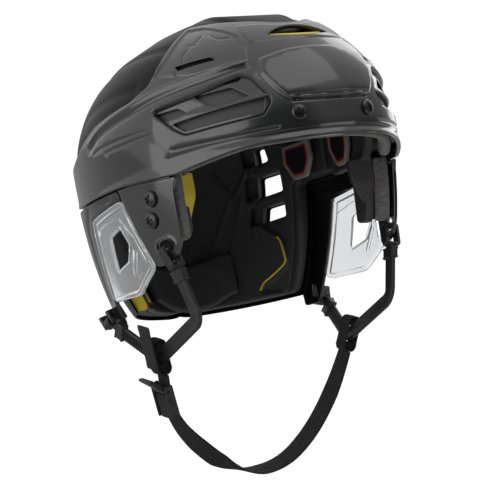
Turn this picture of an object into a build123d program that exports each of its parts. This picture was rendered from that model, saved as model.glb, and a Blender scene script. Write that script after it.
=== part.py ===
from build123d import *
import math
import os

os.makedirs("parts", exist_ok=True)

# An ice hockey helmet, in millimetres and degrees. It is drawn level, facing -Y, with +X to the
# wearer's left, and each rigid piece is then tipped nose up about the X axis, as it is held when
# the chin strap hangs straight down. The origin is the centre of the head.
helmet_pitch = 18.7
overrun = 4.0
assembly_gap = 0.3

# Front shell, its outer face
shell_half_width = 111.6
shell_half_length = 141.0
shell_crown = 98.0
shell_skirt = 215.0
shell_wall = 2.8
crown_fullness_share = 0.575
form_depth = 126.0

# Rear shell, which slides back inside the front shell
rear_side_step = 7.6
rear_end_step = 3.0
rear_half_width = shell_half_width - rear_side_step
rear_half_length = shell_half_length - rear_end_step
rear_crown = shell_crown - rear_end_step
rear_skirt = 172.0
rear_shift = 3.0
rear_wall = 2.5
rear_travel = 8.0

# Padding, measured inwards
foam_thickness = 12.0
liner_thickness = 8.0
felt_thickness = 9.0
gel_thickness = 4.0

# Openings and raised areas of the shells
plate_rise = 2.4
side_vent_length = 87.0
side_vent_height = 30.0
side_vent_flange = 4.5
side_vent_plate = 2.6
top_vent_width = 50.0
top_vent_depth = 10.5
top_vent_bow_share = 0.35
top_slot_length = 27.0
top_slot_width = 5.0
rear_vent_width = 14.0

# Ear panel, ear guard and side frame
panel_inset = 0.8
panel_wall = 3.0
tab_wall = 2.6
guard_wall = 3.0
guard_rim = 4.0
guard_rim_rise = 1.6
frame_wall = 3.6
slot_length = 16.0
slot_height = 9.0
bar_height = 3.6

# Screws and nuts
screw_head_radius = 5.6
screw_head_height = 2.6
screw_dome = 1.2
screw_radius = 2.4
screw_length = 8.5
cross_length = 6.4
cross_width = 1.2
cross_depth = 1.4
nut_flange_radius = 7.0
nut_flange = 1.4
nut_radius = 4.0
nut_length = 3.4
nut_seat_gap = 0.6
nut_pocket_depth = 13.0
screw_play = 0.25
forehead_screw_spacing = 57.0

# Chin strap and its two moulded loops
band_width = 10.5
band_thickness = 3.4
band_tilt = 15.0
pin_radius = 1.9
eye_radius = 4.3
eye_width = 7.0
clip_width = 7.0
clip_wall = 2.4
webbing_width = 16.0
webbing_thickness = 1.7
buckle_length = 26.0
buckle_rail = 2.2
buckle_depth = 4.2
lever_length = 16.0
lever_thickness = 2.6
lever_ridges = 5

# Size adjuster between the two shells
guide_width = 9.0
guide_height = 6.0
guide_flange = 2.0
guide_lip = 3.0

head_reach = shell_half_length + shell_wall + overrun * 4


def head_form(inset, rear=False):
    """A solid head shape this far inside the outer face of the front or the rear shell."""
    width = (rear_half_width if rear else shell_half_width) - inset
    length = (rear_half_length if rear else shell_half_length) - inset
    crown = (rear_crown if rear else shell_crown) - inset
    skirt = rear_skirt if rear else shell_skirt
    low_angle = math.degrees(math.asin(form_depth / skirt))
    with BuildPart() as form:
        with BuildSketch(Plane.XZ):
            with BuildLine():
                shoulder = crown_fullness_share
                Bezier((width, 0), (width, crown * shoulder), (width * shoulder, crown), (0, crown))
                side = EllipticalCenterArc((0, 0), width, skirt, start_angle=-low_angle, arc_size=low_angle)
                bottom = (side @ 0).Y
                Polyline((0, crown), (0, bottom), side @ 0)
            make_face()
        revolve(axis=Axis.Z)
        scale(by=(1, length / width, 1))
    if rear:
        return form.part.moved(Location((0, rear_shift, 0)))
    return form.part


def head_layer(outer, inner, rear=False):
    """The wall between two insets, with the lower end open."""
    return head_form(outer, rear) - head_form(inner, rear)


def surface_x(y, z, inset=0.0):
    """Half width of the front shell's form at this height below the widest line."""
    width = shell_half_width - inset
    length = shell_half_length - inset
    return width * math.sqrt(1 - (y / length) ** 2 - (z / shell_skirt) ** 2)


def surface_plane(y, z, inset=0.0):
    """A plane on the right side of the front shell's form, facing outwards."""
    x = -surface_x(y, z, inset)
    width, length = shell_half_width - inset, shell_half_length - inset
    normal = Vector(x / width ** 2, y / length ** 2, z / shell_skirt ** 2)
    return Plane(origin=(x, y, z), x_dir=(0, 0, 1), z_dir=normal)


def side_points(shares):
    """Points of a side view outline from shares of the shell's half length and crown."""
    return [(y * shell_half_length, z * shell_crown) for y, z in shares]


def top_points(shares):
    """Points of a top view outline, mirrored, from shares of the half width and half length."""
    near = [(x * shell_half_width, y * shell_half_length) for x, y in shares]
    far = [(-x, y) for x, y in reversed(near) if x > 0]
    return near + far


def save(piece, name):
    piece.label = name
    export_step(piece, f"parts/{name}.step")


def save_tipped(piece, name):
    save(piece.rotate(Axis.X, -helmet_pitch), name)


def save_tipped_pair(piece, name):
    save_tipped(piece, f"{name}_right")
    save_tipped(mirror(piece, about=Plane.YZ), f"{name}_left")


# Side view outlines, front to the left: shares of the half length, then of the crown
front_shell_shares = [
    (0.42, -0.245), (0.42, 0.06), (0.32, 0.11), (0.205, 0.175), (0.045, 0.265), (-0.10, 0.305),
    (-0.26, 0.34), (-0.37, 0.42), (-0.37, 1.2), (-1.15, 1.2), (-1.15, -0.205), (-0.795, -0.205),
    (-0.51, -0.275), (-0.16, -0.245),
]
rear_shell_shares = [
    (0.34, -1.08), (0.34, -0.19), (0.045, -0.19), (0.045, 0.13), (-0.10, 0.195), (-0.26, 0.225),
    (-0.425, 0.30), (-0.44, 1.2), (1.15, 1.2), (1.15, -0.60), (0.95, -1.08),
]
front_pad_shares = [
    (0.01, -0.19), (0.01, 0.09), (-0.115, 0.15), (-0.275, 0.18), (-0.455, 0.24), (-0.47, 1.2),
    (-1.15, 1.2), (-1.15, -0.05), (-0.50, -0.05), (-0.46, -0.19),
]
front_liner_shares = [
    (0.01, -0.25), (0.01, 0.09), (-0.115, 0.15), (-0.275, 0.18), (-0.455, 0.24), (-0.47, 1.2),
    (-1.15, 1.2), (-1.15, -0.12), (-0.60, -0.14), (-0.42, -0.25), (-0.42, -0.66), (-0.34, -0.72),
    (-0.20, -0.68), (-0.18, -0.25),
]
rear_pad_shares = [
    (0.36, -1.05), (0.345, -0.20), (0.05, -0.20), (0.05, 0.10), (-0.09, 0.165), (-0.25, 0.195),
    (-0.415, 0.27), (-0.43, 1.2), (1.15, 1.2), (1.15, -0.60), (0.95, -1.05),
]
brow_shares = [
    (-1.15, -0.065), (-1.15, -0.215), (-0.795, -0.215), (-0.51, -0.28), (-0.49, -0.20),
    (-0.52, -0.065),
]
ear_panel_shares = [
    (-0.090, -0.25), (-0.50, -0.285), (-0.468, -0.35), (-0.447, -0.56), (-0.426, -0.735),
    (-0.383, -0.81), (-0.326, -0.86), (-0.218, -0.86),
]
ear_panel_tab_shares = [(-0.11, -0.305), (-0.11, -0.205), (-0.45, -0.205), (-0.45, -0.305)]
temple_felt_shares = [
    (-0.462, -0.30), (-0.440, -0.56), (-0.418, -0.72), (-0.355, -0.735), (-0.385, -0.30),
]
temple_foam_shares = [
    (-0.375, -0.21), (-0.385, -0.30), (-0.354, -0.70), (-0.21, -0.67), (-0.19, -0.21),
]
guard_shares = [
    (-0.106, -0.325), (0.235, -0.378), (0.312, -0.965), (0.27, -1.0), (-0.02, -1.02), (-0.075, -0.98),
    (-0.205, -0.875), (-0.2117, -0.83),
]
guard_hole_shares = [(0.09, -0.56), (-0.035, -0.52), (-0.075, -0.65), (-0.02, -0.76), (0.12, -0.80)]
side_frame_shares = [
    (-0.088, -0.25), (0.45, -0.25), (0.47, -0.60), (0.46, -1.02), (0.425, -1.16), (0.335, -1.16),
    (0.312, -0.965), (0.235, -0.378), (-0.104, -0.325),
]
side_frame_tab_shares = [(-0.05, -0.36), (-0.05, -0.205), (0.33, -0.205), (0.33, -0.36)]
nape_pad_shares = [(0.50, -0.62), (0.46, -1.16), (0.95, -1.16), (1.15, -0.62)]

# Top view outlines, rear to the top: shares of the half width, then of the half length
crown_notch_shares = [(0.0, -0.705), (0.09, -0.695), (0.27, -0.567), (0.457, -0.345), (0.457, -0.28)]
rear_nose_shares = [(0.0, -0.765), (0.125, -0.75), (0.345, -0.615), (0.56, -0.40), (0.56, -0.28)]
pad_notch_shares = [(0.0, -0.80), (0.14, -0.785), (0.375, -0.645), (0.60, -0.425), (0.60, -0.28)]
rear_pad_nose_shares = [(0.0, -0.74), (0.11, -0.725), (0.325, -0.595), (0.535, -0.385), (0.535, -0.28)]
crown_notch_floor = 0.34 * shell_crown

# Front view outline of the raised forehead plate: shares of its own half width and height
plate_half_width = 50.0
plate_height = 42.0
plate_floor = 5.5
plate_shares = [(0.0, 1.0), (0.50, 0.95), (0.92, 0.80), (1.0, 0.44), (0.74, 0.04), (0.48, 0.0)]

# The side vent lies in an oblique plane, with its outline in shares of its length and height
vent_place_shares = (-0.70, -0.674, 0.122)
vent_plane = Plane(
    origin=(
        vent_place_shares[0] * shell_half_width,
        vent_place_shares[1] * shell_half_length,
        vent_place_shares[2] * shell_crown,
    ),
    x_dir=(0.656, -0.755, 0),
    z_dir=(-0.755, -0.656, 0),
)
vent_shares = [
    (-0.463, 0.33), (0.33, 0.57), (0.413, 0.40), (0.535, -0.03), (0.456, -0.37), (-0.195, -0.43),
    (-0.463, 0.20),
]
upper_window_shares = [(-0.36, 0.20), (0.31, 0.44), (0.45, 0.07), (-0.22, -0.0)]
lower_window_shares = [(-0.24, -0.15), (0.45, -0.10), (0.42, -0.30), (-0.17, -0.36)]
web_shares = [(-0.14, 0.55), (0.0, 0.55), (0.10, -0.1), (-0.02, -0.1)]

# The slot in the upper side panel
slot_place_shares = (-0.64, -0.58, 0.50)
slot_plane = Plane(
    origin=(
        slot_place_shares[0] * shell_half_width,
        slot_place_shares[1] * shell_half_length,
        slot_place_shares[2] * shell_crown,
    ),
    x_dir=(0.62, -0.775, 0.09),
    z_dir=(-0.60, -0.40, 0.69),
)

# Rear vents, cut along the line of sight from the face opening
rear_vent_dir = Vector(-0.541, 0.827, 0.155)
rear_vent_x = -0.575 * shell_half_width
rear_vent_y = 0.475 * shell_half_length
rear_vent_shares = [(0.085, 0.143), (-0.16, 0.173), (-0.385, 0.128)]

ear_screw_places = side_points([(-0.32, -0.39), (-0.29, -0.54)])
forehead_screw_z = -0.02 * shell_crown
slot_y = -0.326 * shell_half_length
bar_z = -0.82 * shell_crown
slot_z = bar_z + slot_height / 2 + bar_height
guide_y = 0.17 * shell_half_length
guide_z = -0.035 * shell_crown


def vent_points(shares):
    return [(s * side_vent_length, t * side_vent_height) for s, t in shares]


def front_plane():
    """Vertical plane in front of the shell, seen from the front, x to the wearer's left."""
    return Plane(origin=(0, -head_reach, 0), x_dir=(1, 0, 0), z_dir=(0, -1, 0))


def front_screw_planes():
    """Planes on the forehead, facing forwards, at both screws."""
    planes = []
    width, length = shell_half_width, shell_half_length
    for x in (-forehead_screw_spacing / 2, forehead_screw_spacing / 2):
        y = -length * math.sqrt(1 - (x / width) ** 2 - (forehead_screw_z / shell_skirt) ** 2)
        normal = Vector(x / width ** 2, y / length ** 2, 0)
        planes.append(Plane(origin=(x, y, forehead_screw_z), x_dir=(0, 0, 1), z_dir=normal))
    return planes


# Screw and nut, made once and placed with their flange on the plane
with BuildPart() as screw:
    with BuildSketch():
        Circle(screw_head_radius)
    extrude(amount=screw_head_height)
    fillet(screw.edges().group_by(Axis.Z)[-1], screw_dome)
    with BuildSketch():
        Circle(screw_radius)
    extrude(amount=-screw_length)
    with BuildSketch(Plane.XY.offset(screw_head_height - cross_depth)):
        Rectangle(cross_length, cross_width)
        Rectangle(cross_width, cross_length)
    extrude(amount=cross_depth + overrun, mode=Mode.SUBTRACT)

with BuildPart() as nut:
    with BuildSketch():
        Circle(nut_flange_radius)
        Circle(screw_radius + screw_play, mode=Mode.SUBTRACT)
    extrude(amount=nut_flange)
    with BuildSketch(Plane.XY.offset(nut_flange)):
        Circle(nut_radius)
        Circle(screw_radius + screw_play, mode=Mode.SUBTRACT)
    extrude(amount=nut_length)


# Front shell: brow, temples and the band over the ears, with the raised forehead plate
shell_layer = head_layer(0, shell_wall)
plate_layer = head_layer(-plate_rise, shell_wall / 2)

with BuildPart() as forehead_plate:
    add(plate_layer)
    with BuildSketch(front_plane()):
        half = [(x * plate_half_width, plate_floor + z * plate_height) for x, z in plate_shares]
        Polygon(*half, *[(-x, z) for x, z in reversed(half) if x > 0], align=None)
    extrude(amount=-head_reach, mode=Mode.INTERSECT)

with BuildPart() as front_shell:
    add(shell_layer)
    with BuildSketch(Plane.YZ):
        Polygon(*side_points(front_shell_shares), align=None)
    extrude(amount=head_reach, both=True, mode=Mode.INTERSECT)
    with BuildSketch(Plane.XY.offset(crown_notch_floor)):
        Polygon(*top_points(crown_notch_shares), align=None)
    extrude(amount=head_reach, mode=Mode.SUBTRACT)
    add(forehead_plate.part)
    with BuildSketch(vent_plane):
        Polygon(*vent_points(vent_shares), align=None)
    extrude(amount=shell_half_width / 3, both=True, mode=Mode.SUBTRACT)
    with BuildSketch(slot_plane):
        SlotOverall(top_slot_length, top_slot_width)
    extrude(amount=shell_half_width / 6, both=True, mode=Mode.SUBTRACT)
    mirror(front_shell.part, about=Plane.YZ, mode=Mode.INTERSECT)
    vent_y = -0.775 * shell_half_length
    with BuildSketch(Plane.XY.offset(shell_crown / 3)):
        with BuildLine():
            left = (-top_vent_width / 2, vent_y)
            right = (top_vent_width / 2, vent_y)
            ThreePointArc(left, (0, vent_y + top_vent_depth * top_vent_bow_share), right)
            ThreePointArc(right, (0, vent_y - top_vent_depth * (1 - top_vent_bow_share)), left)
        make_face()
    extrude(amount=shell_crown, mode=Mode.SUBTRACT)
    for plane in front_screw_planes():
        with BuildSketch(plane):
            Circle(screw_radius + screw_play)
        extrude(amount=shell_wall * 3, both=True, mode=Mode.SUBTRACT)
save_tipped(front_shell.part, "front_shell")

# Side vent insert: a plate behind the opening with two long windows and a cross web
insert_layer = head_layer(shell_wall + assembly_gap, shell_wall + assembly_gap + side_vent_plate)
with BuildPart() as side_vent_insert:
    add(insert_layer)
    with BuildSketch(vent_plane):
        Polygon(*vent_points(vent_shares), align=None)
        offset(amount=side_vent_flange, kind=Kind.INTERSECTION)
    extrude(amount=shell_half_width / 3, both=True, mode=Mode.INTERSECT)
    with BuildSketch(vent_plane):
        Polygon(*vent_points(upper_window_shares), align=None)
        Polygon(*vent_points(web_shares), align=None, mode=Mode.SUBTRACT)
        Polygon(*vent_points(lower_window_shares), align=None)
    extrude(amount=shell_half_width / 3, both=True, mode=Mode.SUBTRACT)
save_tipped_pair(side_vent_insert.part, "side_vent_insert")


def rear_region(side_shares, nose_shares):
    """The space that the rear shell or its padding fills, as a cutter."""
    with BuildPart() as region:
        with BuildSketch(Plane.YZ):
            Polygon(*side_points(side_shares), align=None)
        extrude(amount=head_reach, both=True)
        with BuildSketch(Plane.XY.offset(crown_notch_floor)):
            Polygon(*top_points(nose_shares), align=None)
        extrude(amount=shell_crown)
    return region.part


def rear_vent_cutter():
    """The three openings on each side of the back of the head, one above the other."""
    with BuildPart() as cutter:
        for level, height in rear_vent_shares:
            origin = (rear_vent_x, rear_vent_y, level * shell_crown)
            with BuildSketch(Plane(origin=origin, x_dir=(0, 0, 1), z_dir=rear_vent_dir)):
                Rectangle(height * shell_crown, rear_vent_width)
            extrude(amount=shell_half_length / 2, both=True)
        mirror(about=Plane.YZ)
    return cutter.part


rear_openings = rear_vent_cutter()

# Rear shell: crown, back and nape, with the slots that the adjuster guides run in
with BuildPart() as rear_shell:
    add(head_layer(0, rear_wall, rear=True))
    add(rear_region(rear_shell_shares, rear_nose_shares), mode=Mode.INTERSECT)
    add(rear_openings, mode=Mode.SUBTRACT)
    with BuildSketch(Plane.YZ):
        with Locations((guide_y - rear_travel / 2, guide_z)):
            Rectangle(guide_width + rear_travel + assembly_gap * 2, guide_height + assembly_gap * 2)
    extrude(amount=head_reach, both=True, mode=Mode.SUBTRACT)
save_tipped(rear_shell.part, "rear_shell")

# Adjuster guides: a block on the inside of the front shell with a flange behind the rear shell
with BuildPart() as adjuster_guide:
    guide_inner = rear_wall + assembly_gap
    add(head_form(shell_wall + assembly_gap))
    with BuildSketch(Plane.YZ):
        with Locations((guide_y, guide_z)):
            Rectangle(guide_width, guide_height)
    extrude(amount=-head_reach, mode=Mode.INTERSECT)
    add(head_form(guide_inner + guide_flange, rear=True), mode=Mode.SUBTRACT)
with BuildPart() as guide_plate:
    add(head_layer(guide_inner, guide_inner + guide_flange, rear=True))
    with BuildSketch(Plane.YZ):
        with Locations((guide_y, guide_z)):
            Rectangle(guide_width, guide_height + guide_lip * 2)
    extrude(amount=-head_reach, mode=Mode.INTERSECT)
with BuildPart() as adjuster_guide_whole:
    add(adjuster_guide.part)
    add(guide_plate.part)
save_tipped_pair(adjuster_guide_whole.part, "adjuster_guide")

# Front impact foam and comfort liner
front_foam_outer = shell_wall + assembly_gap * 2 + side_vent_plate
front_foam_inner = front_foam_outer + foam_thickness
front_liner_inner = front_foam_inner + assembly_gap + liner_thickness

with BuildPart() as pad_notch:
    with BuildSketch(Plane.XY.offset(crown_notch_floor / 2)):
        Polygon(*top_points(pad_notch_shares), align=None)
    extrude(amount=head_reach)

with BuildPart() as impact_foam_front:
    add(head_layer(front_foam_outer, front_foam_inner))
    with BuildSketch(Plane.YZ):
        Polygon(*side_points(front_pad_shares), align=None)
    extrude(amount=head_reach, both=True, mode=Mode.INTERSECT)
    add(pad_notch.part, mode=Mode.SUBTRACT)
    with BuildSketch(vent_plane):
        Polygon(*vent_points(upper_window_shares), align=None)
    extrude(amount=shell_half_width / 3, both=True, mode=Mode.SUBTRACT)
    mirror(impact_foam_front.part, about=Plane.YZ, mode=Mode.INTERSECT)
    for plane in front_screw_planes():
        with BuildSketch(plane):
            Circle(nut_flange_radius + assembly_gap * 2)
        extrude(amount=-nut_pocket_depth, mode=Mode.SUBTRACT)
save_tipped(impact_foam_front.part, "impact_foam_front")

with BuildPart() as front_liner:
    add(head_layer(front_foam_inner + assembly_gap, front_liner_inner))
    with BuildSketch(Plane.YZ):
        Polygon(*side_points(front_liner_shares), align=None)
    extrude(amount=head_reach, both=True, mode=Mode.INTERSECT)
    add(pad_notch.part, mode=Mode.SUBTRACT)
    with BuildSketch(vent_plane):
        Polygon(*vent_points(upper_window_shares), align=None)
    extrude(amount=shell_half_width / 3, both=True, mode=Mode.SUBTRACT)
    mirror(front_liner.part, about=Plane.YZ, mode=Mode.INTERSECT)
save_tipped(front_liner.part, "front_liner")

# Brow pad: a felt faced strip behind the lower edge of the forehead
with BuildPart() as brow_pad:
    add(head_layer(front_foam_outer, front_foam_outer + felt_thickness))
    with BuildSketch(Plane.YZ):
        Polygon(*side_points(brow_shares), align=None)
    extrude(amount=head_reach, both=True, mode=Mode.INTERSECT)
save_tipped(brow_pad.part, "brow_pad")

# Ear panel: hangs below the band, holds the front end of the strap loop in its slot
with BuildPart() as ear_panel:
    add(head_layer(panel_inset, panel_inset + panel_wall))
    with BuildSketch(Plane.YZ):
        Polygon(*side_points(ear_panel_shares), align=None)
    extrude(amount=-head_reach, mode=Mode.INTERSECT)
with BuildPart() as ear_panel_tab:
    add(head_layer(shell_wall + assembly_gap, shell_wall + assembly_gap + tab_wall))
    with BuildSketch(Plane.YZ):
        Polygon(*side_points(ear_panel_tab_shares), align=None)
    extrude(amount=-head_reach, mode=Mode.INTERSECT)
with BuildPart() as ear_panel_whole:
    add(ear_panel.part)
    add(ear_panel_tab.part)
    with BuildSketch(Plane.YZ):
        with Locations((slot_y, slot_z)):
            SlotOverall(slot_length, slot_height)
    extrude(amount=-head_reach, mode=Mode.SUBTRACT)
    for y, z in ear_screw_places:
        with BuildSketch(surface_plane(y, z, panel_inset)):
            Circle(screw_radius + screw_play)
        extrude(amount=panel_wall * 3, both=True, mode=Mode.SUBTRACT)
save_tipped_pair(ear_panel_whole.part, "ear_panel")

# Temple felt and temple foam behind the ear panel
temple_outer = panel_inset + panel_wall + nut_seat_gap + nut_flange + assembly_gap
with BuildPart() as temple_felt:
    add(head_layer(temple_outer, temple_outer + felt_thickness))
    with BuildSketch(Plane.YZ):
        Polygon(*side_points(temple_felt_shares), align=None)
    extrude(amount=-head_reach, mode=Mode.INTERSECT)
save_tipped_pair(temple_felt.part, "temple_felt")

with BuildPart() as temple_foam:
    add(head_layer(temple_outer, front_foam_inner))
    with BuildSketch(Plane.YZ):
        Polygon(*side_points(temple_foam_shares), align=None)
    extrude(amount=-head_reach, mode=Mode.INTERSECT)
    for y, z in ear_screw_places:
        with BuildSketch(surface_plane(y, z, panel_inset)):
            Circle(nut_radius + assembly_gap * 2)
        extrude(amount=-nut_pocket_depth, mode=Mode.SUBTRACT)
save_tipped_pair(temple_foam.part, "temple_foam")

# Ear guard: a clear cover with a thick rim and a five sided opening
with BuildPart() as guard_rim_solid:
    add(head_layer(-guard_rim_rise, guard_wall))
    with BuildSketch(Plane.YZ):
        guard_face = Polygon(*side_points(guard_shares), align=None)
        offset(amount=-assembly_gap, kind=Kind.INTERSECTION)
        offset(guard_face, amount=-guard_rim, kind=Kind.INTERSECTION, mode=Mode.SUBTRACT)
    extrude(amount=-head_reach, mode=Mode.INTERSECT)
with BuildPart() as ear_guard:
    add(head_layer(0, guard_wall))
    with BuildSketch(Plane.YZ):
        Polygon(*side_points(guard_shares), align=None)
        offset(amount=-assembly_gap, kind=Kind.INTERSECTION)
    extrude(amount=-head_reach, mode=Mode.INTERSECT)
    add(guard_rim_solid.part)
    with BuildSketch(Plane.YZ):
        Polygon(*side_points(guard_hole_shares), align=None)
    extrude(amount=-head_reach, mode=Mode.SUBTRACT)
save_tipped_pair(ear_guard.part, "ear_guard")


def tip(y, z):
    """A side view point after the helmet is tipped nose up."""
    angle = math.radians(helmet_pitch)
    return (y * math.cos(angle) + z * math.sin(angle), z * math.cos(angle) - y * math.sin(angle))


# Hinge line of the right strap loop, through the ear panel's bar and the side frame's pin
hinge_half_span = surface_x(slot_y, bar_z, panel_inset + panel_wall / 2)
rear_pin_y = 0.385 * shell_half_length
rear_pin_z = -1.12 * shell_crown
front_anchor = Vector(-hinge_half_span, *tip(slot_y, bar_z))
rear_anchor = Vector(-hinge_half_span, *tip(rear_pin_y, rear_pin_z))
anchor_length = (rear_anchor - front_anchor).length
hinge_dir = (rear_anchor - front_anchor).normalized()
fall_dir = Vector(0, hinge_dir.Z, -hinge_dir.Y)
lean = math.radians(band_tilt)
band_dir = fall_dir * math.cos(lean) + Vector(1, 0, 0) * math.sin(lean)
band_normal = hinge_dir.cross(band_dir)
loop_plane = Plane(origin=front_anchor, x_dir=hinge_dir, z_dir=band_normal)


def across_plane(along):
    """The plane square to the hinge line, x outwards and y upwards, this far along it."""
    return Plane(origin=front_anchor + hinge_dir * along, x_dir=band_normal, z_dir=hinge_dir)


# Side frame: glossy piece behind the ear guard, down to the horn that holds the rear strap clip
ear_gap = 4.3
ear_wall = 2.6
ear_drop = 2.6
ear_height = 8.0
horn_reach = 14.5
tab_outer = shell_wall + assembly_gap
with BuildPart() as side_frame_plate:
    add(head_layer(0, frame_wall))
    with BuildSketch(Plane.YZ):
        Polygon(*side_points(side_frame_shares), align=None)
    extrude(amount=-head_reach, mode=Mode.INTERSECT)
with BuildPart() as side_frame_tab:
    add(head_layer(tab_outer, tab_outer + tab_wall))
    with BuildSketch(Plane.YZ):
        Polygon(*side_points(side_frame_tab_shares), align=None)
    extrude(amount=-head_reach, mode=Mode.INTERSECT)
with BuildPart() as side_frame:
    add(side_frame_plate.part.rotate(Axis.X, -helmet_pitch))
    add(side_frame_tab.part.rotate(Axis.X, -helmet_pitch))
    with BuildSketch(across_plane(anchor_length - ear_gap)):
        Circle(eye_radius + assembly_gap)
        Rectangle(horn_reach, (eye_radius + assembly_gap) * 2, align=(Align.MIN, Align.CENTER))
    extrude(amount=ear_gap * 2, mode=Mode.SUBTRACT)
    for start in (ear_gap, -ear_gap - ear_wall):
        with BuildSketch(across_plane(anchor_length + start)):
            with Locations((ear_drop, -ear_drop)):
                Rectangle(horn_reach, ear_height + ear_drop, align=(Align.MAX, Align.MIN))
        extrude(amount=ear_wall)
    with BuildSketch(across_plane(anchor_length - ear_gap - ear_wall)):
        Circle(pin_radius)
    extrude(amount=(ear_gap + ear_wall) * 2)
save(side_frame.part, "side_frame_right")
save(mirror(side_frame.part, about=Plane.YZ), "side_frame_left")

# Rear impact foam and comfort liner, with room for the adjuster's flange
rear_foam_outer = rear_wall + assembly_gap
rear_foam_inner = rear_foam_outer + foam_thickness
rear_liner_outer = rear_foam_inner + assembly_gap
rear_liner_inner = rear_liner_outer + liner_thickness
rear_pad_region = rear_region(rear_pad_shares, rear_pad_nose_shares)
with BuildPart() as impact_foam_rear:
    add(head_layer(rear_foam_outer, rear_foam_inner, rear=True))
    add(rear_pad_region, mode=Mode.INTERSECT)
    add(rear_openings, mode=Mode.SUBTRACT)
    with BuildSketch(Plane.YZ):
        with Locations((guide_y - rear_travel / 2, guide_z)):
            Rectangle(
                guide_width + rear_travel + assembly_gap * 4,
                guide_height + guide_lip * 2 + assembly_gap * 4,
            )
    extrude(amount=head_reach, both=True, mode=Mode.SUBTRACT)
save_tipped(impact_foam_rear.part, "impact_foam_rear")

with BuildPart() as rear_liner:
    add(head_layer(rear_liner_outer, rear_liner_inner, rear=True))
    add(rear_pad_region, mode=Mode.INTERSECT)
    add(rear_openings, mode=Mode.SUBTRACT)
save_tipped(rear_liner.part, "rear_liner")

# Crown pad and nape pad on the inside of the rear liner
crown_pad_half_width = 42.0
crown_pad_half_length = 62.0
crown_pad_thickness = 6.0
crown_pad_y = 0.05 * shell_half_length
nape_half_width = 44.0
nape_pad_thickness = 7.0
pad_outer = rear_liner_inner + assembly_gap
with BuildPart() as crown_pad:
    add(head_layer(pad_outer, pad_outer + crown_pad_thickness, rear=True))
    with BuildSketch(Plane.XY.offset(shell_crown / 3)):
        with Locations((0, crown_pad_y)):
            Ellipse(crown_pad_half_width, crown_pad_half_length)
    extrude(amount=shell_crown, mode=Mode.INTERSECT)
save_tipped(crown_pad.part, "crown_pad")

with BuildPart() as nape_pad:
    add(head_layer(pad_outer, pad_outer + nape_pad_thickness, rear=True))
    with BuildSketch(Plane.YZ):
        Polygon(*side_points(nape_pad_shares), align=None)
    extrude(amount=nape_half_width, both=True, mode=Mode.INTERSECT)
save_tipped(nape_pad.part, "nape_pad")

# Gel pads: hexagonal, on the inner faces of the side liners
gel_half_length = 16.0
gel_half_height = 14.0
gel_shares = [(-1.0, 1.0), (0.9, 1.0), (1.0, 0.0), (0.45, -1.0), (-0.5, -1.0), (-1.0, -0.1)]
rear_gel_y = 0.20 * shell_half_length
rear_gel_z = -0.06 * shell_crown
front_gel_y = -0.16 * shell_half_length
front_gel_z = -0.07 * shell_crown


def gel_pad(y, z, outer, rear):
    """One pad at this place in side view, this far inside the shell."""
    with BuildPart() as pad:
        add(head_layer(outer, outer + gel_thickness, rear))
        with BuildSketch(Plane.YZ):
            points = [(y + a * gel_half_length, z + b * gel_half_height) for a, b in gel_shares]
            Polygon(*points, align=None)
        extrude(amount=-head_reach, mode=Mode.INTERSECT)
    return pad.part


save_tipped_pair(gel_pad(rear_gel_y, rear_gel_z, pad_outer, True), "rear_gel_pad")
save_tipped_pair(gel_pad(front_gel_y, front_gel_z, front_liner_inner + assembly_gap, False), "front_gel_pad")


def save_group(piece, planes, name):
    """One node of separate solids: the piece on each of the planes."""
    with BuildPart() as group:
        with Locations(*planes):
            add(piece)
    save_tipped(group.part, name)


def mirrored(planes):
    """The planes and their mirror images on the other side of the head."""
    flipped = []
    for plane in planes:
        origin = Vector(-plane.origin.X, plane.origin.Y, plane.origin.Z)
        normal = Vector(-plane.z_dir.X, plane.z_dir.Y, plane.z_dir.Z)
        flipped.append(Plane(origin=origin, x_dir=(0, 0, 1), z_dir=normal))
    return planes + flipped


def behind(planes, wall):
    """The nuts' planes: behind this wall on the screws' axes, facing inwards."""
    seats = [plane.offset(-wall - nut_seat_gap) for plane in planes]
    return [Plane(origin=seat.origin, x_dir=seat.x_dir, z_dir=-seat.z_dir) for seat in seats]


def proud(planes):
    return [plane.offset(assembly_gap) for plane in planes]


# Screws and their flanged nuts
forehead_planes = front_screw_planes()
ear_planes = mirrored([surface_plane(y, z, panel_inset) for y, z in ear_screw_places])
save_group(screw.part, proud(forehead_planes), "forehead_screws")
save_group(nut.part, behind(forehead_planes, shell_wall), "forehead_nuts")
save_group(screw.part, proud(ear_planes), "ear_screws")
save_group(nut.part, behind(ear_planes, panel_wall), "ear_nuts")

# Strap loop: a moulded band from the front clip, round a tight bend and back up to the rear clip
loop_drop = 46.0
bend_along = 0.108 * anchor_length
vertex_along = 0.725 * anchor_length
bend_radius = 9.0
vertex_radius = 12.0
sleeve_wall = 1.2
sleeve_length = 9.0
front_sleeve_start = 9.4
rear_sleeve_start = 8.0
band_inset = 1.6
bend_point = Vector(bend_along, loop_drop)
vertex_point = Vector(vertex_along, loop_drop)
rear_point = Vector(anchor_length, 0)
front_leg = bend_point.normalized()
rear_leg = (vertex_point - rear_point).normalized()
band_start = front_leg * (front_sleeve_start + band_inset)
band_end = rear_point + rear_leg * (rear_sleeve_start + band_inset)
band_route = [(p.X, p.Y) for p in (band_start, bend_point, vertex_point, band_end)]
band_radii = (bend_radius, vertex_radius)


def band_solid(play):
    """The band along its route, with this much added all round."""
    with BuildPart() as band:
        with BuildSketch(loop_plane):
            with BuildLine():
                FilletPolyline(*band_route, radius=band_radii)
            trace(line_width=band_width + play * 2)
        extrude(amount=band_thickness / 2 + play, both=True)
    return band.part


band_space = band_solid(assembly_gap / 2)
with BuildPart() as strap_loop:
    add(band_solid(0))
save(strap_loop.part, "strap_loop_right")
save(mirror(strap_loop.part, about=Plane.YZ), "strap_loop_left")


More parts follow.
